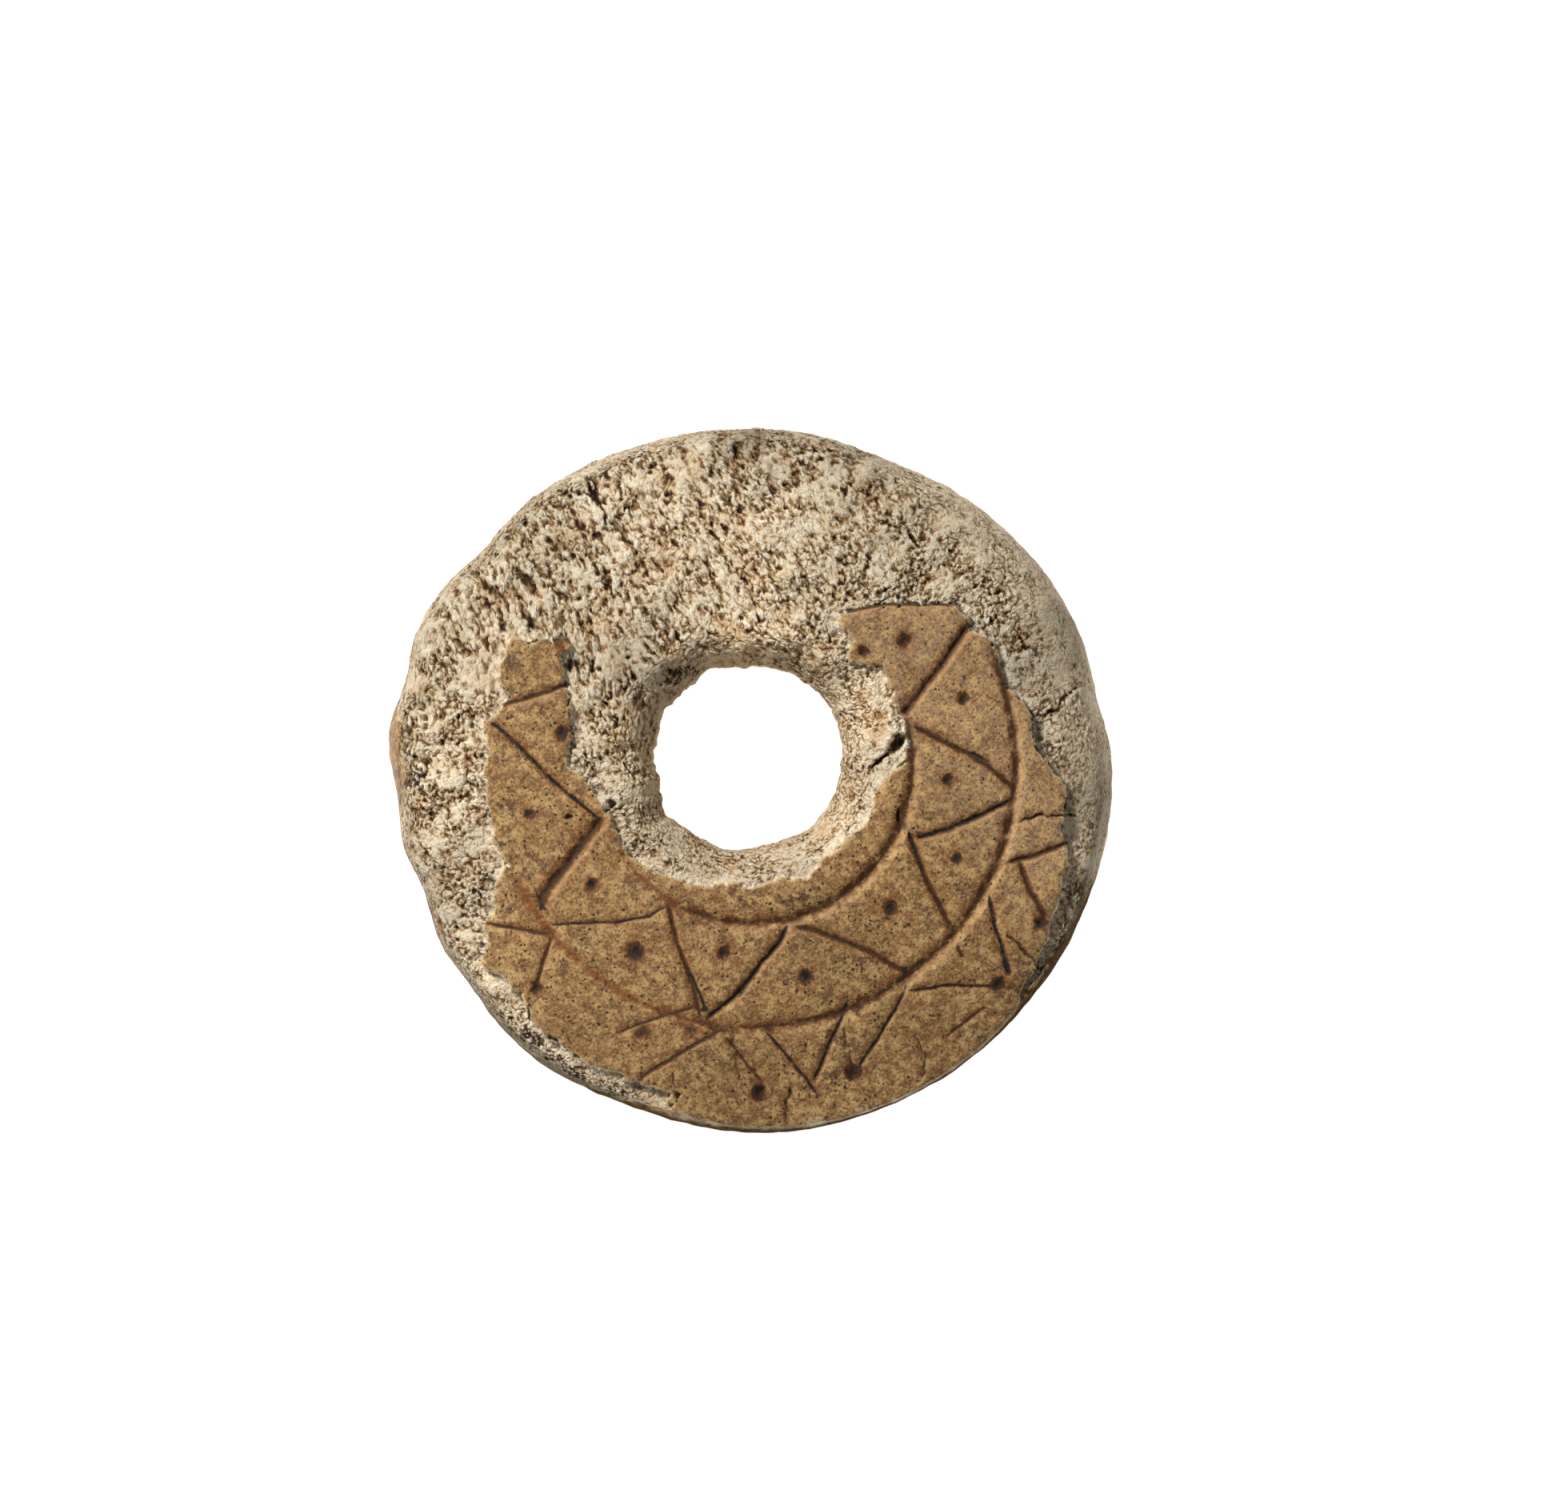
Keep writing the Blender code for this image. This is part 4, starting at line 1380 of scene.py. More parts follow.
    def specks(
        self, tree: bpy.types.NodeTree, place: bpy.types.NodeSocket, held: dict[str, bpy.types.NodeSocket]
    ) -> bpy.types.NodeSocket:
        """Small dark specks of all sizes up to about 0.25 mm, in loose groups.

        Each cell holds one speck whose radius is set by the cell's own random number and a slow
        noise, and the skin's close grain makes its outline uneven. They are smaller on rosy skin.

        Args:
            tree: the node tree.
            place: Object coordinates.
            held: the rose and stain attributes and the close grain.

        Returns:
            1 in the specks and 0 off them.
        """
        cells = add(tree, "ShaderNodeTexVoronoi", {"Vector": place, "Scale": 1.0 / (0.27 * MM)})
        own = add(tree, "ShaderNodeSeparateColor", {0: cells.outputs["Color"]}).outputs[0]
        largest = add(tree, "ShaderNodeMapRange", {0: held["rose"], 1: 0.2, 2: 1.0, 3: 0.42, 4: 0.32})
        size = add(
            tree, "ShaderNodeMapRange", {0: own, 1: 0.30, 2: 1.0, 3: 0.0, 4: largest.outputs[0]}
        ).outputs[0]
        grouped = add(
            tree, "ShaderNodeMapRange", {0: held["stain"], 1: -0.5, 2: 0.5, 3: 0.45, 4: 1.10}
        ).outputs[0]
        radius = add(tree, "ShaderNodeMath", {0: size, 1: grouped}, operation="MULTIPLY").outputs[0]
        away = add(
            tree,
            "ShaderNodeMath",
            {0: held["tooth"], 1: 0.75, 2: cells.outputs["Distance"]},
            operation="MULTIPLY_ADD",
        ).outputs[0]
        past = add(tree, "ShaderNodeMath", {0: away, 1: radius}, operation="SUBTRACT").outputs[0]
        return add(tree, "ShaderNodeMapRange", {0: past, 1: 0.355, 2: 0.255}).outputs[0]

    def scratches(self, tree: bpy.types.NodeTree, place: bpy.types.NodeSocket) -> bpy.types.NodeSocket:
        """Faint straight scratches in two directions, each a noise drawn out along one of them.

        Args:
            tree: the node tree.
            place: Object coordinates.

        Returns:
            1 in the scratches and 0 off them.
        """
        found = []
        for turn in (0.72, -1.05):
            drawn = add(
                tree,
                "ShaderNodeMapping",
                {"Vector": place, "Rotation": (0.0, 0.0, turn), "Scale": (7.0 * MM, 0.10 * MM, 7.0 * MM)},
                vector_type="TEXTURE",
            )
            lines = add(tree, "ShaderNodeTexNoise", {"Vector": drawn.outputs[0], "Scale": 1.0, "Detail": 1.0})
            kept = add(tree, "ShaderNodeMapRange", {0: lines.outputs["Fac"], 1: 0.63, 2: 0.71})
            found.append(kept.outputs[0])
        return add(tree, "ShaderNodeMath", {0: found[0], 1: found[1]}, operation="MAXIMUM").outputs[0]

    def hard_colour(
        self, tree: bpy.types.NodeTree, place: bpy.types.NodeSocket, held: dict[str, bpy.types.NodeSocket]
    ) -> bpy.types.NodeSocket:
        """Colour of the hard skin: three browns marbled, what marks it, then what fills its cuts, with
        painted shade in its low places and on the rings' shadowed walls, and a painted highlight on the cut
        walls that face the light.

        Args:
            tree: the node tree.
            place: Object coordinates.
            held: the piece's attributes, the frayed distance into the skin, its cracks and tooth.

        Returns:
            The colour's output.
        """
        skin, fill = self.skin, self.fill
        flecks, wander = (
            add(
                tree,
                "ShaderNodeTexNoise",
                {"Vector": place, "Scale": 1.0 / (size * MM), "Detail": 3.0, "Roughness": 0.7},
            ).outputs["Fac"]
            for size in (0.6, 0.32)
        )
        blots = add(tree, "ShaderNodeTexVoronoi", {"Vector": place, "Scale": 1.0 / (1.5 * MM)})
        swung = {
            "rust": (wander, 2.0, held["rust"]),
            "umber_and_painted_shade": (wander, 0.8, held["umber_and_painted_shade"]),
            "soot": (wander, 1.1, held["soot"]),
            "rose": (wander, 1.2, held["rose"]),
            "rubbed_and_painted_highlight": (wander, 0.6, held["rubbed_and_painted_highlight"]),
            "blot": (wander, 0.5, blots.outputs["Distance"]),
            "chipped": (held["tooth"], 0.5, held["worn"]),
        }
        uneven = {
            name: add(tree, "ShaderNodeMath", dict(enumerate(parts)), operation="MULTIPLY_ADD").outputs[0]
            for name, parts in swung.items()
        }
        # Each layer: what drives it, the values that it runs between, its share and its colour.
        layers = (
            (held["marble"], -0.75, -0.05, 1.0, skin.mid),
            (uneven["rose"], 0.75, 1.35, 0.82, skin.rose),
            (flecks, 0.44, 0.62, 0.80, skin.pale),
            (held["marble"], 0.35, 0.75, 0.5, skin.mid),
            (held["tooth"], 0.45, 0.05, 0.88, skin.deep),
            (held["tooth"], 0.60, 0.96, 0.70, skin.pale),
            (uneven["blot"], 0.40, 0.30, 0.5, skin.spot),
            (self.scratches(tree, place), 0.0, 1.0, 0.34, skin.spot),
            (held["frayed"], 0.26, 0.12, 0.75, skin.edge),
            (uneven["rust"], 1.25, 1.85, 0.80, fill.rust),
            (uneven["chipped"], 0.70, 1.05, 0.75, skin.edge),
            (self.specks(tree, place, held), 0.0, 1.0, 0.90, skin.speck),
            (held["cracks"], 0.0, 1.0, 0.55, skin.speck),
            # Low places, such as the bottoms of cuts, darkened brown: stain with painted shade.
            (held["level"], -0.5, -2.2, 0.6, fill.umber_and_painted_shade),
            # The brown stain, with painted shade on the rings' shadowed walls and in dents.
            (uneven["umber_and_painted_shade"], 0.60, 1.00, 0.90, fill.umber_and_painted_shade),
            # Painted highlight on the cut walls that face the light.
            (uneven["rubbed_and_painted_highlight"], 0.55, 1.20, 0.72, skin.tan),
            (uneven["umber_and_painted_shade"], 1.15, 1.45, 0.92, fill.pitch),
            (uneven["soot"], 1.01, 1.15, 0.92, fill.soot),
        )
        colour = linear(skin.deep)
        for driver, start, end, share, code in layers:
            mask = add(tree, "ShaderNodeMapRange", {0: driver, 1: start, 2: end, 4: share})
            colour = add(
                tree, "ShaderNodeMix", {0: mask.outputs[0], 6: colour, 7: linear(code)}, data_type="RGBA"
            ).outputs[2]
        return colour

    def soft_colour(
        self, tree: bpy.types.NodeTree, held: dict[str, bpy.types.NodeSocket]
    ) -> bpy.types.NodeSocket:
        """Colour of the spongy bone: pale on its crests as a painted highlight, brown down its gaps as earth
        with painted shade, with earthy patches.

        Args:
            tree: the node tree.
            held: the piece's attributes, and the height of its grit.

        Returns:
            The colour's output.
        """
        sponge, fill = self.sponge, self.fill
        level = add(
            tree, "ShaderNodeMath", {0: held["grit"], 1: 0.95, 2: held["level"]}, operation="MULTIPLY_ADD"
        ).outputs[0]
        # Stain and soil with painted shade in the dents, deepened where the grit is low.
        soil_and_painted_shade = add(
            tree, "ShaderNodeMath", {0: held["grit"], 1: -0.35, 2: held["umber_and_painted_shade"]}, operation="MULTIPLY_ADD"
        ).outputs[0]
        # Each layer: what drives it, the values that it runs between, its share, colour and blend.
        layers = (
            (held["patch"], -0.1, 0.8, 0.35, sponge.crest, "MIX"),
            # Relative height: a painted highlight on the crests, and brown down the gaps as earth with
            # painted shade.
            (level, 0.0, 1.1, 1.0, sponge.crest, "MIX"),
            (level, -0.1, -1.0, 1.0, sponge.wall, "MIX"),
            (level, -1.0, -2.3, 0.95, sponge.depth, "MIX"),
            (held["stain"], 0.10, 0.80, 0.42, sponge.earth, "MULTIPLY"),
            (held["skin"], -0.80, -0.05, 0.40, sponge.crushed, "MIX"),
            (held["worn"], 0.0, 1.0, 0.40, sponge.rubbed_and_painted_highlight, "MIX"),
            (soil_and_painted_shade, 0.35, 0.75, 0.9, fill.pitch, "MIX"),
            (held["soot"], 0.45, 0.65, 0.85, fill.soot, "MIX"),
        )
        colour = linear(sponge.body)
        for driver, start, end, share, code, blend in layers:
            mask = add(tree, "ShaderNodeMapRange", {0: driver, 1: start, 2: end, 4: share})
            colour = add(
                tree,
                "ShaderNodeMix",
                {0: mask.outputs[0], 6: colour, 7: linear(code)},
                data_type="RGBA",
                blend_type=blend,
            ).outputs[2]
        return colour

    def bump(
        self, tree: bpy.types.NodeTree, on_skin: bpy.types.NodeSocket, held: dict[str, bpy.types.NodeSocket]
    ) -> bpy.types.NodeSocket:
        """Fine relief of the surface: grit on the breaks and a close tooth on the skin.

        Args:
            tree: the node tree.
            on_skin: 1 on the hard skin.
            held: the worn attribute, the grit and the tooth.

        Returns:
            The normal's output.
        """
        toothed = add(tree, "ShaderNodeMath", {0: held["tooth"], 1: self.tooth_height}, operation="MULTIPLY")
        high, low = self.grit_height, self.worn_grit * self.grit_height
        rubbed_and_painted_highlight = add(tree, "ShaderNodeMapRange", {0: held["worn"], 3: high, 4: low})
        gritty = add(tree, "ShaderNodeMath", {0: held["grit"], 1: rubbed_and_painted_highlight.outputs[0]}, operation="MULTIPLY")
        raised = add(
            tree,
            "ShaderNodeMix",
            {0: on_skin, 2: gritty.outputs[0], 3: toothed.outputs[0]},
            data_type="FLOAT",
        )
        return add(
            tree, "ShaderNodeBump", {"Height": raised.outputs[0], "Strength": 1.0, "Distance": 1.0}
        ).outputs["Normal"]


# The whorl itself.


@dataclass(frozen=True)
class Layout:
    """Where the surface's charts lie on the square of a baked picture, in its pixels.

    The face and the underside are laid flat; the flank, in two halves, and the hole's wall are
    unrolled into strips.
    """

    edge: float = 1024.0
    face: tuple = (326.0, 694.0, 13.4)
    under: tuple = (836.0, 832.0, 7.5)
    strip_left: float = 10.0
    strip_width: float = 1004.0
    flanks: tuple = ((12.0, 104.0), (118.0, 210.0))
    wall: tuple = (224.0, 362.0)
    wall_width: float = 560.0
    flank_rows: tuple = (48.0, 122.0)
    wall_rows: tuple = (338.0, 394.0)
    under_height: float = 1.2
    mouth_height: float = 0.8
    inner_radius: float = 12.0

    def corners(self, place: np.ndarray, row: np.ndarray, face: np.ndarray) -> np.ndarray:
        """Lays out the corners of the faces.

        Args:
            place: each corner's place in millimetres about the hole's axis.
            row: each corner's row along the section.
            face: the number of each corner's face.

        Returns:
            Two coordinates for each corner, from 0 to 1.
        """
        count = np.maximum(np.bincount(face), 1)
        middle = np.stack([np.bincount(face, place[:, k]) / count for k in range(3)], axis=-1)[face]
        mean_row = (np.bincount(face, row) / count)[face]
        inner = np.hypot(middle[:, 0], middle[:, 1]) < self.inner_radius
        heading = np.degrees(np.arctan2(middle[:, 1], middle[:, 0]))
        turn = np.degrees(np.arctan2(place[:, 1], place[:, 0])) - heading
        angle = heading + (turn + 180.0) % 360.0 - 180.0

        x = self.face[0] + self.face[2] * place[:, 0]
        y = self.face[1] + self.face[2] * place[:, 1]
        halves = (~inner & (heading < 0.0), ~inner & (heading >= 0.0))
        for half, start, (low, high) in zip(halves, (-180.0, 0.0), self.flanks):
            strip = half & (mean_row < self.flank_rows[1])
            share = np.interp(row[strip], self.flank_rows, (0.0, 1.0))
            x[strip] = self.strip_left + self.strip_width * (angle[strip] - start) / 180.0
            y[strip] = low + (high - low) * share
        strip = inner & (mean_row > self.wall_rows[0])
        share = np.interp(row[strip], self.wall_rows, (0.0, 1.0))
        x[strip] = self.strip_left + self.wall_width * (angle[strip] + 180.0) / 360.0
        y[strip] = self.wall[0] + (self.wall[1] - self.wall[0]) * share
        flat = middle[:, 2] < np.where(inner, self.mouth_height, self.under_height)
        x[flat] = self.under[0] + self.under[2] * place[flat, 0]
        y[flat] = self.under[1] + self.under[2] * place[flat, 1]
        return np.clip(np.stack([x, y], axis=-1) / self.edge, 0.0, 1.0)


@dataclass(frozen=True)
class Whorl:
    """The bone spindle whorl: one closed piece.

    The seat is where the hole's axis stands in the part's frame, in millimetres. Each row of the
    spot tables is (x, y, reach, change), a soft round spot that is lighter or darker than the rest:
    the bone's own patches together with painted light and shade, such as a lighter funnel wall
    that faces the light and a darker rim on the lower right.
    """

    blank: Blank = Blank()
    carving: Carving = Carving()
    breaks: Breaks = Breaks()
    sponge: SpongyRelief = SpongyRelief()
    skin: SkinRelief = SkinRelief()
    material: BoneMaterial = BoneMaterial()
    layout: Layout = Layout()
    seat: tuple = (-0.1117, 1.3192)
    most_triangles: int = 192_000
    level_scale: float = 0.12
    worn_band: float = 2.8
    worn_right: tuple = ((0.0, 1.0), (50.0, 1.0), (66.0, 0.0), (180.0, 0.0), (335.0, 0.0), (348.0, 1.0))
    worn_below: tuple = ((230.0, 0.0), (245.0, 0.8), (285.0, 1.0), (305.0, 0.8), (318.0, 0.0))
    worn_line: tuple = (1.15, 0.45)
    worn_heights: tuple = (8.7, 10.1)
    dent_wobble: float = 0.16
    dent_wobble_size: float = 0.45
    soft_cut: float = 0.6
    shade_heights: tuple = (10.4, 9.5)
    shade_lost: float = 0.75
    tone_limits: tuple = (0.25, 1.5)
    # Painted shade on the flank by heading, most on the lower right, which faces away from the light.
    flank_shade: tuple = (
        (0.0, 0.22), (30.0, 0.12), (60.0, 0.20), (150.0, 0.22), (180.0, 0.12), (200.0, 0.25), (225.0, 0.50),
        (250.0, 0.68), (300.0, 0.76), (335.0, 0.72), (350.0, 0.40), (360.0, 0.22),
    )  # fmt: skip
    # Spots on the breaks: the bone's own lighter and darker patches with painted light and shade, such as a
    # lighter funnel wall that faces the light and a darker rim on the right.
    sponge_tones_and_painted_light: tuple = (
        (-19.0, -1.4, 3.5, 0.18), (-13.2, 12.9, 3.5, -0.12), (-6.2, 14.9, 3.5, 0.06), (0.2, 13.9, 4.0, 0.16),
        (0.2, 20.0, 2.6, -0.40), (7.0, 19.0, 2.6, -0.25), (9.0, 13.9, 3.5, -0.10), (17.5, 5.9, 3.0, -0.30),
        (-17.2, -13.6, 2.5, 0.34), (-5.0, 4.8, 2.4, -0.12), (-12.5, -18.0, 3.0, 0.22), (7.0, 2.0, 1.6, 0.15),
        (20.5, 8.5, 2.5, -0.26), (22.0, -2.5, 3.2, -0.36), (7.6, 3.4, 2.2, 0.45), (7.0, -3.9, 1.8, 0.30),
        (5.5, -5.8, 1.5, 0.25), (-0.8, -7.0, 2.2, 0.08), (-6.5, 0.4, 1.8, 0.25), (0.5, 7.0, 2.6, 0.40),
        (-7.2, 5.9, 2.2, -0.24), (20.5, -9.5, 2.2, -0.15),
    )  # fmt: skip
    # Spots on the skin: its own patches with painted shade, darkest along the rim on the lower right.
    skin_tones_and_painted_light: tuple = (
        (-13.0, 5.4, 2.5, -0.08), (-0.8, -11.6, 1.5, -0.06), (13.0, 2.0, 2.5, 0.06), (18.5, -6.0, 1.6, 0.08),
        (-0.2, -20.5, 4.0, -0.22), (11.2, -17.5, 4.0, -0.18), (13.5, -2.9, 1.8, -0.14),
        (6.0, -11.6, 3.0, -0.12),
        (9.8, 7.3, 3.0, -0.12), (-13.0, 6.5, 2.0, -0.10), (17.8, -15.2, 2.0, -0.40),
        (20.5, -12.0, 2.2, -0.50), (22.0, -8.5, 1.8, -0.40), (-9.0, -17.1, 2.5, -0.08),
        (-14.0, -12.0, 3.0, 0.08), (18.4, -8.1, 1.6, 0.08), (4.0, -9.0, 1.5, -0.12), (-3.4, -9.6, 1.0, -0.15),
    )  # fmt: skip

    def worn(self, sheet: Sheet) -> np.ndarray:
        """How smooth wear has left each place: a band along the rim on the right, a line below.

        Args:
            sheet: the unbroken surface.

        Returns:
            0 to 1 for each place.
        """
        radius = np.hypot(sheet.points[..., 0], sheet.points[..., 1])
        in_from_rim = self.blank.rim(sheet.angle) - radius
        band = by_angle(sheet.angle, self.worn_right)
        edge = self.worn_band + 0.7 * noise(sheet.points, 2.0, SEED + 50)
        line = by_angle(sheet.angle, self.worn_below)
        turn = np.radians(sheet.angle)
        ring = self.blank.rim_r * np.stack([np.cos(turn), np.sin(turn), np.zeros_like(turn)], axis=-1)
        line = line * ease(-0.25, 0.35, noise(ring, 0.45, SEED + 52) + 0.6 * noise(ring, 2.5, SEED + 53))
        upper = np.isin(sheet.zone, (Zone.FLANK, Zone.FACE))[:, None]
        height = sheet.points[..., 2] + 0.7 * noise(sheet.points, 0.7, SEED + 54)
        line = line * ease(*self.worn_heights, height) * ease(*self.worn_line, in_from_rim)
        worn = band * ease(edge + 0.5, edge - 0.5, in_from_rim) + line
        return np.where(upper, worn, 0.0)

    def tone_and_painted_light(self, sheet: Sheet, keeps: np.ndarray, worn: np.ndarray) -> np.ndarray:
        """How light or dark each place is painted: 1 plus bell-shaped changes, the bone's own patches with
        painted light and shade, less painted shade on the flank.

        Args:
            sheet: the unbroken surface.
            keeps: 1 on the surviving skin, which has changes of its own.
            worn: how smooth each place is, where the flank gets less painted shade.

        Returns:
            A factor for the colour.
        """
        totals = []
        for changes in (self.sponge_tones_and_painted_light, self.skin_tones_and_painted_light):
            total = np.ones(keeps.shape, np.float32)
            for x, y, reach, change in changes:
                away = np.hypot(sheet.points[..., 0] - x, sheet.points[..., 1] - y)
                total += change * np.exp(-((away / reach) ** 2))
            totals.append(total)
        outer = np.isin(sheet.zone, (Zone.UNDERSIDE, Zone.FOOT, Zone.FLANK))[:, None]
        # Painted shade: the flank is darkened below the shoulder by heading, less where it is worn.
        shade = np.where(outer, ease(*self.shade_heights, sheet.points[..., 2]), 0.0)
        shade = shade * by_angle(sheet.angle, self.flank_shade) * (1.0 - self.shade_lost * worn)
        return np.clip(mixed(totals[0], totals[1], keeps) * (1.0 - shade), *self.tone_limits)

    def rose(self, sheet: Sheet) -> np.ndarray:
        """How far the skin turns from golden to pinkish brown: most on the right and upper right."""
        turned = ease(4.0, 15.0, sheet.points[..., 0] + 0.75 * sheet.points[..., 1])
        return turned * (0.75 + 0.5 * noise(sheet.points, 1.8, SEED + 60))

    def relief(self) -> tuple[np.ndarray, dict[str, np.ndarray]]:
        """Works out the finished surface and what its material needs to know.

        The unbroken, carved surface and the broken one are worked out over the whole disc, and
        the skin's outline chooses between them with a steep step.

        Returns:
            The points in millimetres, and a value for each point under each attribute's name.
        """
        whole = self.blank.sheet()
        inside = self.breaks.surviving(whole)
        keeps = ease(-self.breaks.edge, self.breaks.edge, inside)
        marks = self.carving.marks(whole)
        normal = whole.normals()
        skin_height = self.skin.height(whole, inside) - marks.cut
        hard = whole.points + normal * skin_height[..., None]

        broken = self.breaks.broken(self.blank, whole)
        way = broken.normals()
        up = ease(0.35, 0.75, way[..., 2])
        worn = self.worn(whole)
        shake = np.stack(
            [noise(whole.points, self.dent_wobble_size, SEED + k) for k in (51, 52)], axis=-1
        )
        dents, dark = self.breaks.dents(whole.points[..., :2] + self.dent_wobble * shake)
        top = np.isin(whole.zone, (Zone.FACE, Zone.FUNNEL, Zone.FLANK))[:, None]
        dents, dark = np.where(top, dents, 0.0), np.where(top, dark, 0.0)
        soft_height = self.sponge.height(broken, up, worn) - self.soft_cut * marks.cut
        soft = broken.points + way * soft_height[..., None]
        points = mixed(soft, hard, keeps[..., None])
        points[..., 2] -= dents

        # Relative height, which the material turns into pale crests and dark hollows: a painted highlight,
        # and painted shade with the dirt in them.
        height = mixed(soft_height, skin_height, keeps) - dents
        level = (height - soft_mean(height, 4, 7)) / self.level_scale
        fields = {
            "skin": inside,
            "level": level,
            "soot": marks.soot,
            "rust": marks.rust,
            # The brown stain of the cuts, with the dents' darkness and the soil: stain and dirt with painted
            # shade.
            "umber_and_painted_shade": np.maximum(marks.umber_and_painted_shade, dark),
            "worn": worn,
            # Painted highlight on the cut walls that face the light, on the skin only.
            "rubbed_and_painted_highlight": marks.rubbed_and_painted_highlight * keeps,
            # The bone's own patches with painted light and shade, and painted shade on the flank.
            "tone_and_painted_light": self.tone_and_painted_light(whole, keeps, worn),
            "rose": self.rose(whole),
            "patch": self.sponge.patch(broken.points),
            "marble": fractal(whole.points, 2.4, SEED + 61, 4, 0.65),
            "stain": fractal(whole.points, 1.8, SEED + 65, 3, 0.6),
            "row": np.arange(len(whole.points), dtype=np.float32)[:, None] + 0.0 * whole.angle,
            "bent": (self.sponge.bent(whole.points) + np.array([*self.seat, 0.0])) * MM,
        }
        points[..., 2] = np.maximum(points[..., 2], 0.0)
        return points, fields

    def fine_mesh(self) -> bpy.types.Mesh:
        """The finished surface as a mesh of quads, with its attributes, in millimetres.

        Returns:
            The mesh, closed round the hole and along the section.
        """
        points, fields = self.relief()
        rows, columns = points.shape[:2]
        row = np.arange(rows)[:, None] * columns
        after = (np.arange(rows)[:, None] + 1) % rows * columns
        here = np.arange(columns)[None, :]
        beside = (here + 1) % columns
        quads = np.stack([row + here, row + beside, after + beside, after + here], axis=-1)
        mesh = bpy.data.meshes.new("fine")
        mesh.vertices.add(rows * columns)
        mesh.vertices.foreach_set("co", points.astype(np.float32).ravel())
        mesh.loops.add(quads.size)
        mesh.loops.foreach_set("vertex_index", quads.astype(np.int32).ravel())
        mesh.polygons.add(rows * columns)
        mesh.polygons.foreach_set("loop_start", np.arange(0, quads.size, 4, dtype=np.int32))
        mesh.update(calc_edges=True)
        for name, field in fields.items():
            kind, key = ("FLOAT", "value") if field.ndim == 2 else ("FLOAT_VECTOR", "vector")
            layer = mesh.attributes.new(name, kind, "POINT")
            layer.data.foreach_set(key, field.astype(np.float32).ravel())
        return mesh

    def thinned(self, mesh: bpy.types.Mesh) -> bpy.types.Mesh:
        """The mesh with edges collapsed where it is flattest, down to the most triangles.

        Args:
            mesh: the fine mesh, which is removed.

        Returns:
            The thinner mesh.
        """
        holder = bpy.data.objects.new("fine", mesh)
        bpy.context.collection.objects.link(holder)
        thin = holder.modifiers.new("thin", "DECIMATE")
        thin.ratio = self.most_triangles / (2.0 * len(mesh.polygons))
        graph = bpy.context.evaluated_depsgraph_get()
        made = bpy.data.meshes.new_from_object(
            holder.evaluated_get(graph), preserve_all_data_layers=True, depsgraph=graph
        )
        bpy.data.objects.remove(holder)
        bpy.data.meshes.remove(mesh)
        return made

    def lay_out(self, mesh: bpy.types.Mesh) -> None:
        """Gives the mesh its layout for baking.

        Args:
            mesh: the thinned mesh, about the hole's axis in millimetres.
        """
        place = np.empty(3 * len(mesh.vertices), np.float32)
        mesh.vertices.foreach_get("co", place)
        row = np.empty(len(mesh.vertices), np.float32)
        mesh.attributes["row"].data.foreach_get("value", row)
        mesh.attributes.remove(mesh.attributes["row"])
        at = np.empty(len(mesh.loops), np.int32)
        mesh.loops.foreach_get("vertex_index", at)
        sides = np.empty(len(mesh.polygons), np.int32)
        mesh.polygons.foreach_get("loop_total", sides)
        face = np.repeat(np.arange(len(sides)), sides)
        spread = self.layout.corners(place.reshape(-1, 3)[at], row[at], face)
        mesh.uv_layers.new(name="OFBake").data.foreach_set("uv", spread.astype(np.float32).ravel())

    def build(self) -> bpy.types.Object:
        """Makes the whorl, dressed and in place.

        Returns:
            The finished object.
        """
        mesh = self.thinned(self.fine_mesh())
        mesh.name = "bone_whorl"
        self.lay_out(mesh)
        place = np.empty(3 * len(mesh.vertices), np.float32)
        mesh.vertices.foreach_get("co", place)
        place = (place.reshape(-1, 3) + np.array([*self.seat, 0.0])) * MM
        mesh.vertices.foreach_set("co", place.astype(np.float32).ravel())
        mesh.polygons.foreach_set("use_smooth", np.ones(len(mesh.polygons), bool))
        mesh.materials.clear()
        mesh.materials.append(self.material.build())
        mesh.update()
        piece = bpy.data.objects.new("bone_whorl", mesh)
        bpy.context.collection.objects.link(piece)
        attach(piece, "root")
        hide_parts("whorl")
        return piece


# The studio: floor, light and camera.


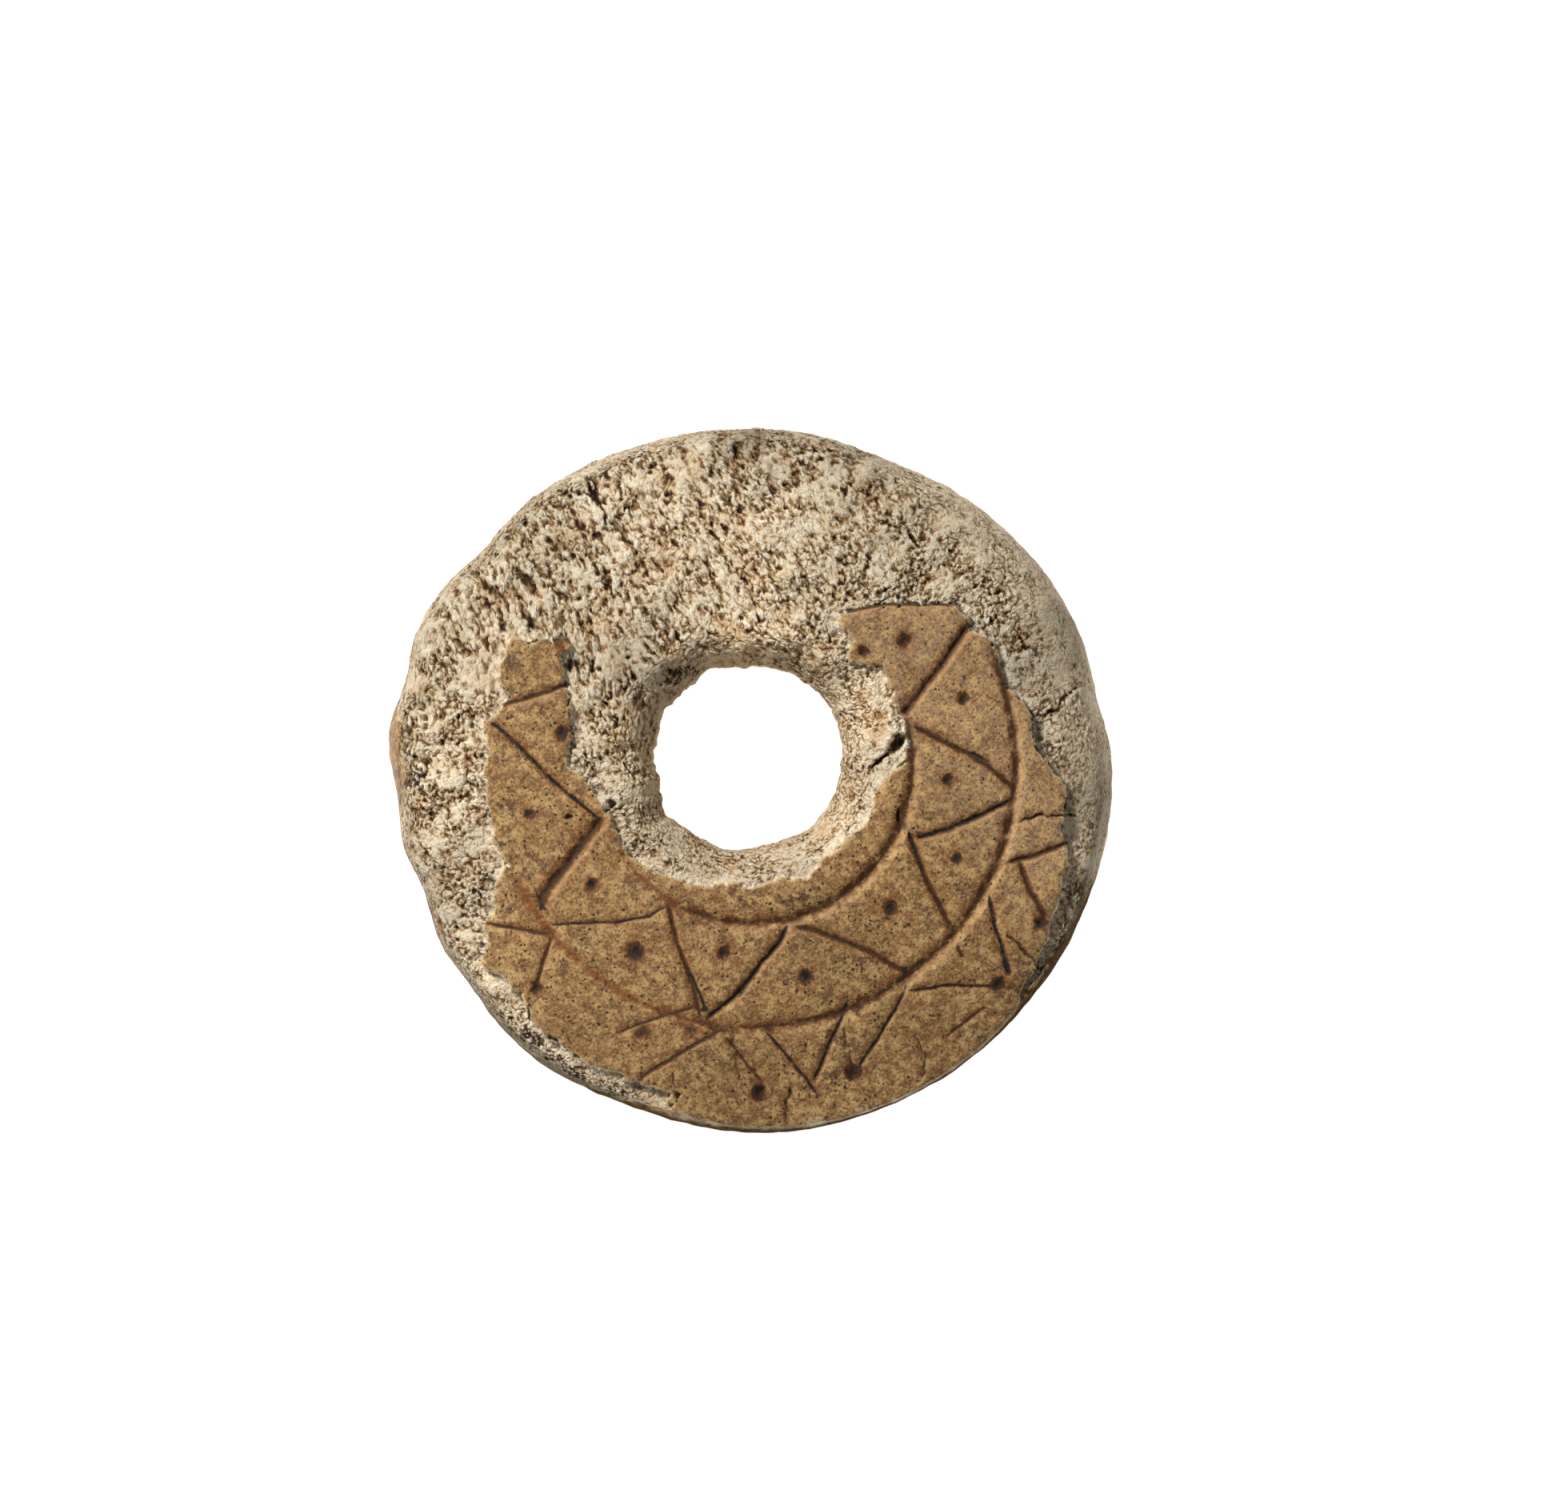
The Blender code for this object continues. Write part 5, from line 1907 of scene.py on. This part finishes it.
@dataclass(frozen=True)
class Studio:
    """A pale floor under soft light, seen from straight above.

    The floor, the lamp and the camera's height are in metres, and the rest is in millimetres.
    """

    floor_size: float = 1.6
    floor_points: int = 9
    floor_gap: float = 0.02 * MM
    floor_colour: str = "#C4C3C1"
    floor_glow: float = 0.95
    world_light: float = 0.26
    key_power: float = 3.5
    key_size: float = 0.13
    key_from: tuple = (-0.30, 0.30, 0.42)
    camera_at: tuple = (2.14, 1.545)
    camera_height: float = 1.0
    view_width: float = 98.0
    face_height: float = 12.0
    sensor: float = 36.0

    def floor(self) -> bpy.types.Object:
        """A sheet of matt white board, which glows a little so that it stays pale under the disc.

        Returns:
            The floor.
        """
        half = self.floor_size / 2.0
        count = self.floor_points
        u, v = np.meshgrid(np.linspace(-half, half, count), np.linspace(-half, half, count))
        board = np.stack([u, v, np.full_like(u, -self.floor_gap)], axis=-1).reshape(-1, 3)
        first = (np.arange(count - 1)[:, None] * count + np.arange(count - 1)[None, :]).ravel()
        quads = np.stack([first, first + 1, first + count + 1, first + count], axis=-1)
        mesh = bpy.data.meshes.new("floor")
        mesh.from_pydata(board.tolist(), [], quads.tolist())
        material = bpy.data.materials.new("matt_white_board")
        material.use_nodes = True
        shader = material.node_tree.nodes["Principled BSDF"]
        shader.inputs["Base Color"].default_value = linear(self.floor_colour)
        shader.inputs["Roughness"].default_value = 0.95
        shader.inputs["Emission Color"].default_value = linear("#FFFFFF")
        shader.inputs["Emission Strength"].default_value = self.floor_glow
        mesh.materials.append(material)
        floor = bpy.data.objects.new("floor", mesh)
        bpy.context.collection.objects.link(floor)
        return floor

    def light(self) -> None:
        """A soft key from the upper left and an even pale surround."""
        world = bpy.data.worlds.new("studio")
        world.use_nodes = True
        world.node_tree.nodes["Background"].inputs["Color"].default_value = linear("#FFFFFF")
        world.node_tree.nodes["Background"].inputs["Strength"].default_value = self.world_light
        bpy.context.scene.world = world
        lamp = bpy.data.lights.new("key", "AREA")
        lamp.shape = "DISK"
        lamp.size = self.key_size
        lamp.energy = self.key_power
        key = bpy.data.objects.new("key", lamp)
        key.location = self.key_from
        away = math.atan2(math.hypot(self.key_from[0], self.key_from[1]), self.key_from[2])
        key.rotation_euler = (away, 0.0, math.atan2(self.key_from[1], self.key_from[0]) + math.pi / 2.0)
        bpy.context.collection.objects.link(key)

    def camera(self) -> bpy.types.Object:
        """The camera, looking straight down with the photograph's framing.

        Returns:
            The camera.
        """
        data = bpy.data.cameras.new("camera")
        data.sensor_width = self.sensor
        away = self.camera_height - self.face_height * MM
        data.lens = self.sensor * away / (self.view_width * MM)
        data.clip_start, data.clip_end = 0.01, 10.0
        camera = bpy.data.objects.new("camera", data)
        camera.location = (self.camera_at[0] * MM, self.camera_at[1] * MM, self.camera_height)
        bpy.context.collection.objects.link(camera)
        bpy.context.scene.camera = camera
        return camera


def corners(box: tuple) -> list[list[float]]:
    """The two corners of a box as plain lists."""
    return [list(map(float, corner)) for corner in box]


def main() -> None:
    """Builds the studio and the whorl."""
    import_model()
    bpy.context.scene.view_settings.view_transform = "Standard"
    studio = Studio()
    studio.camera()
    studio.floor()
    studio.light()
    whorl = Whorl().build()
    log.info("%s: %d triangles", whorl.name, len(whorl.data.polygons))


if __name__ == "__main__":
    logging.basicConfig(level=logging.INFO, format="%(message)s")
    main()
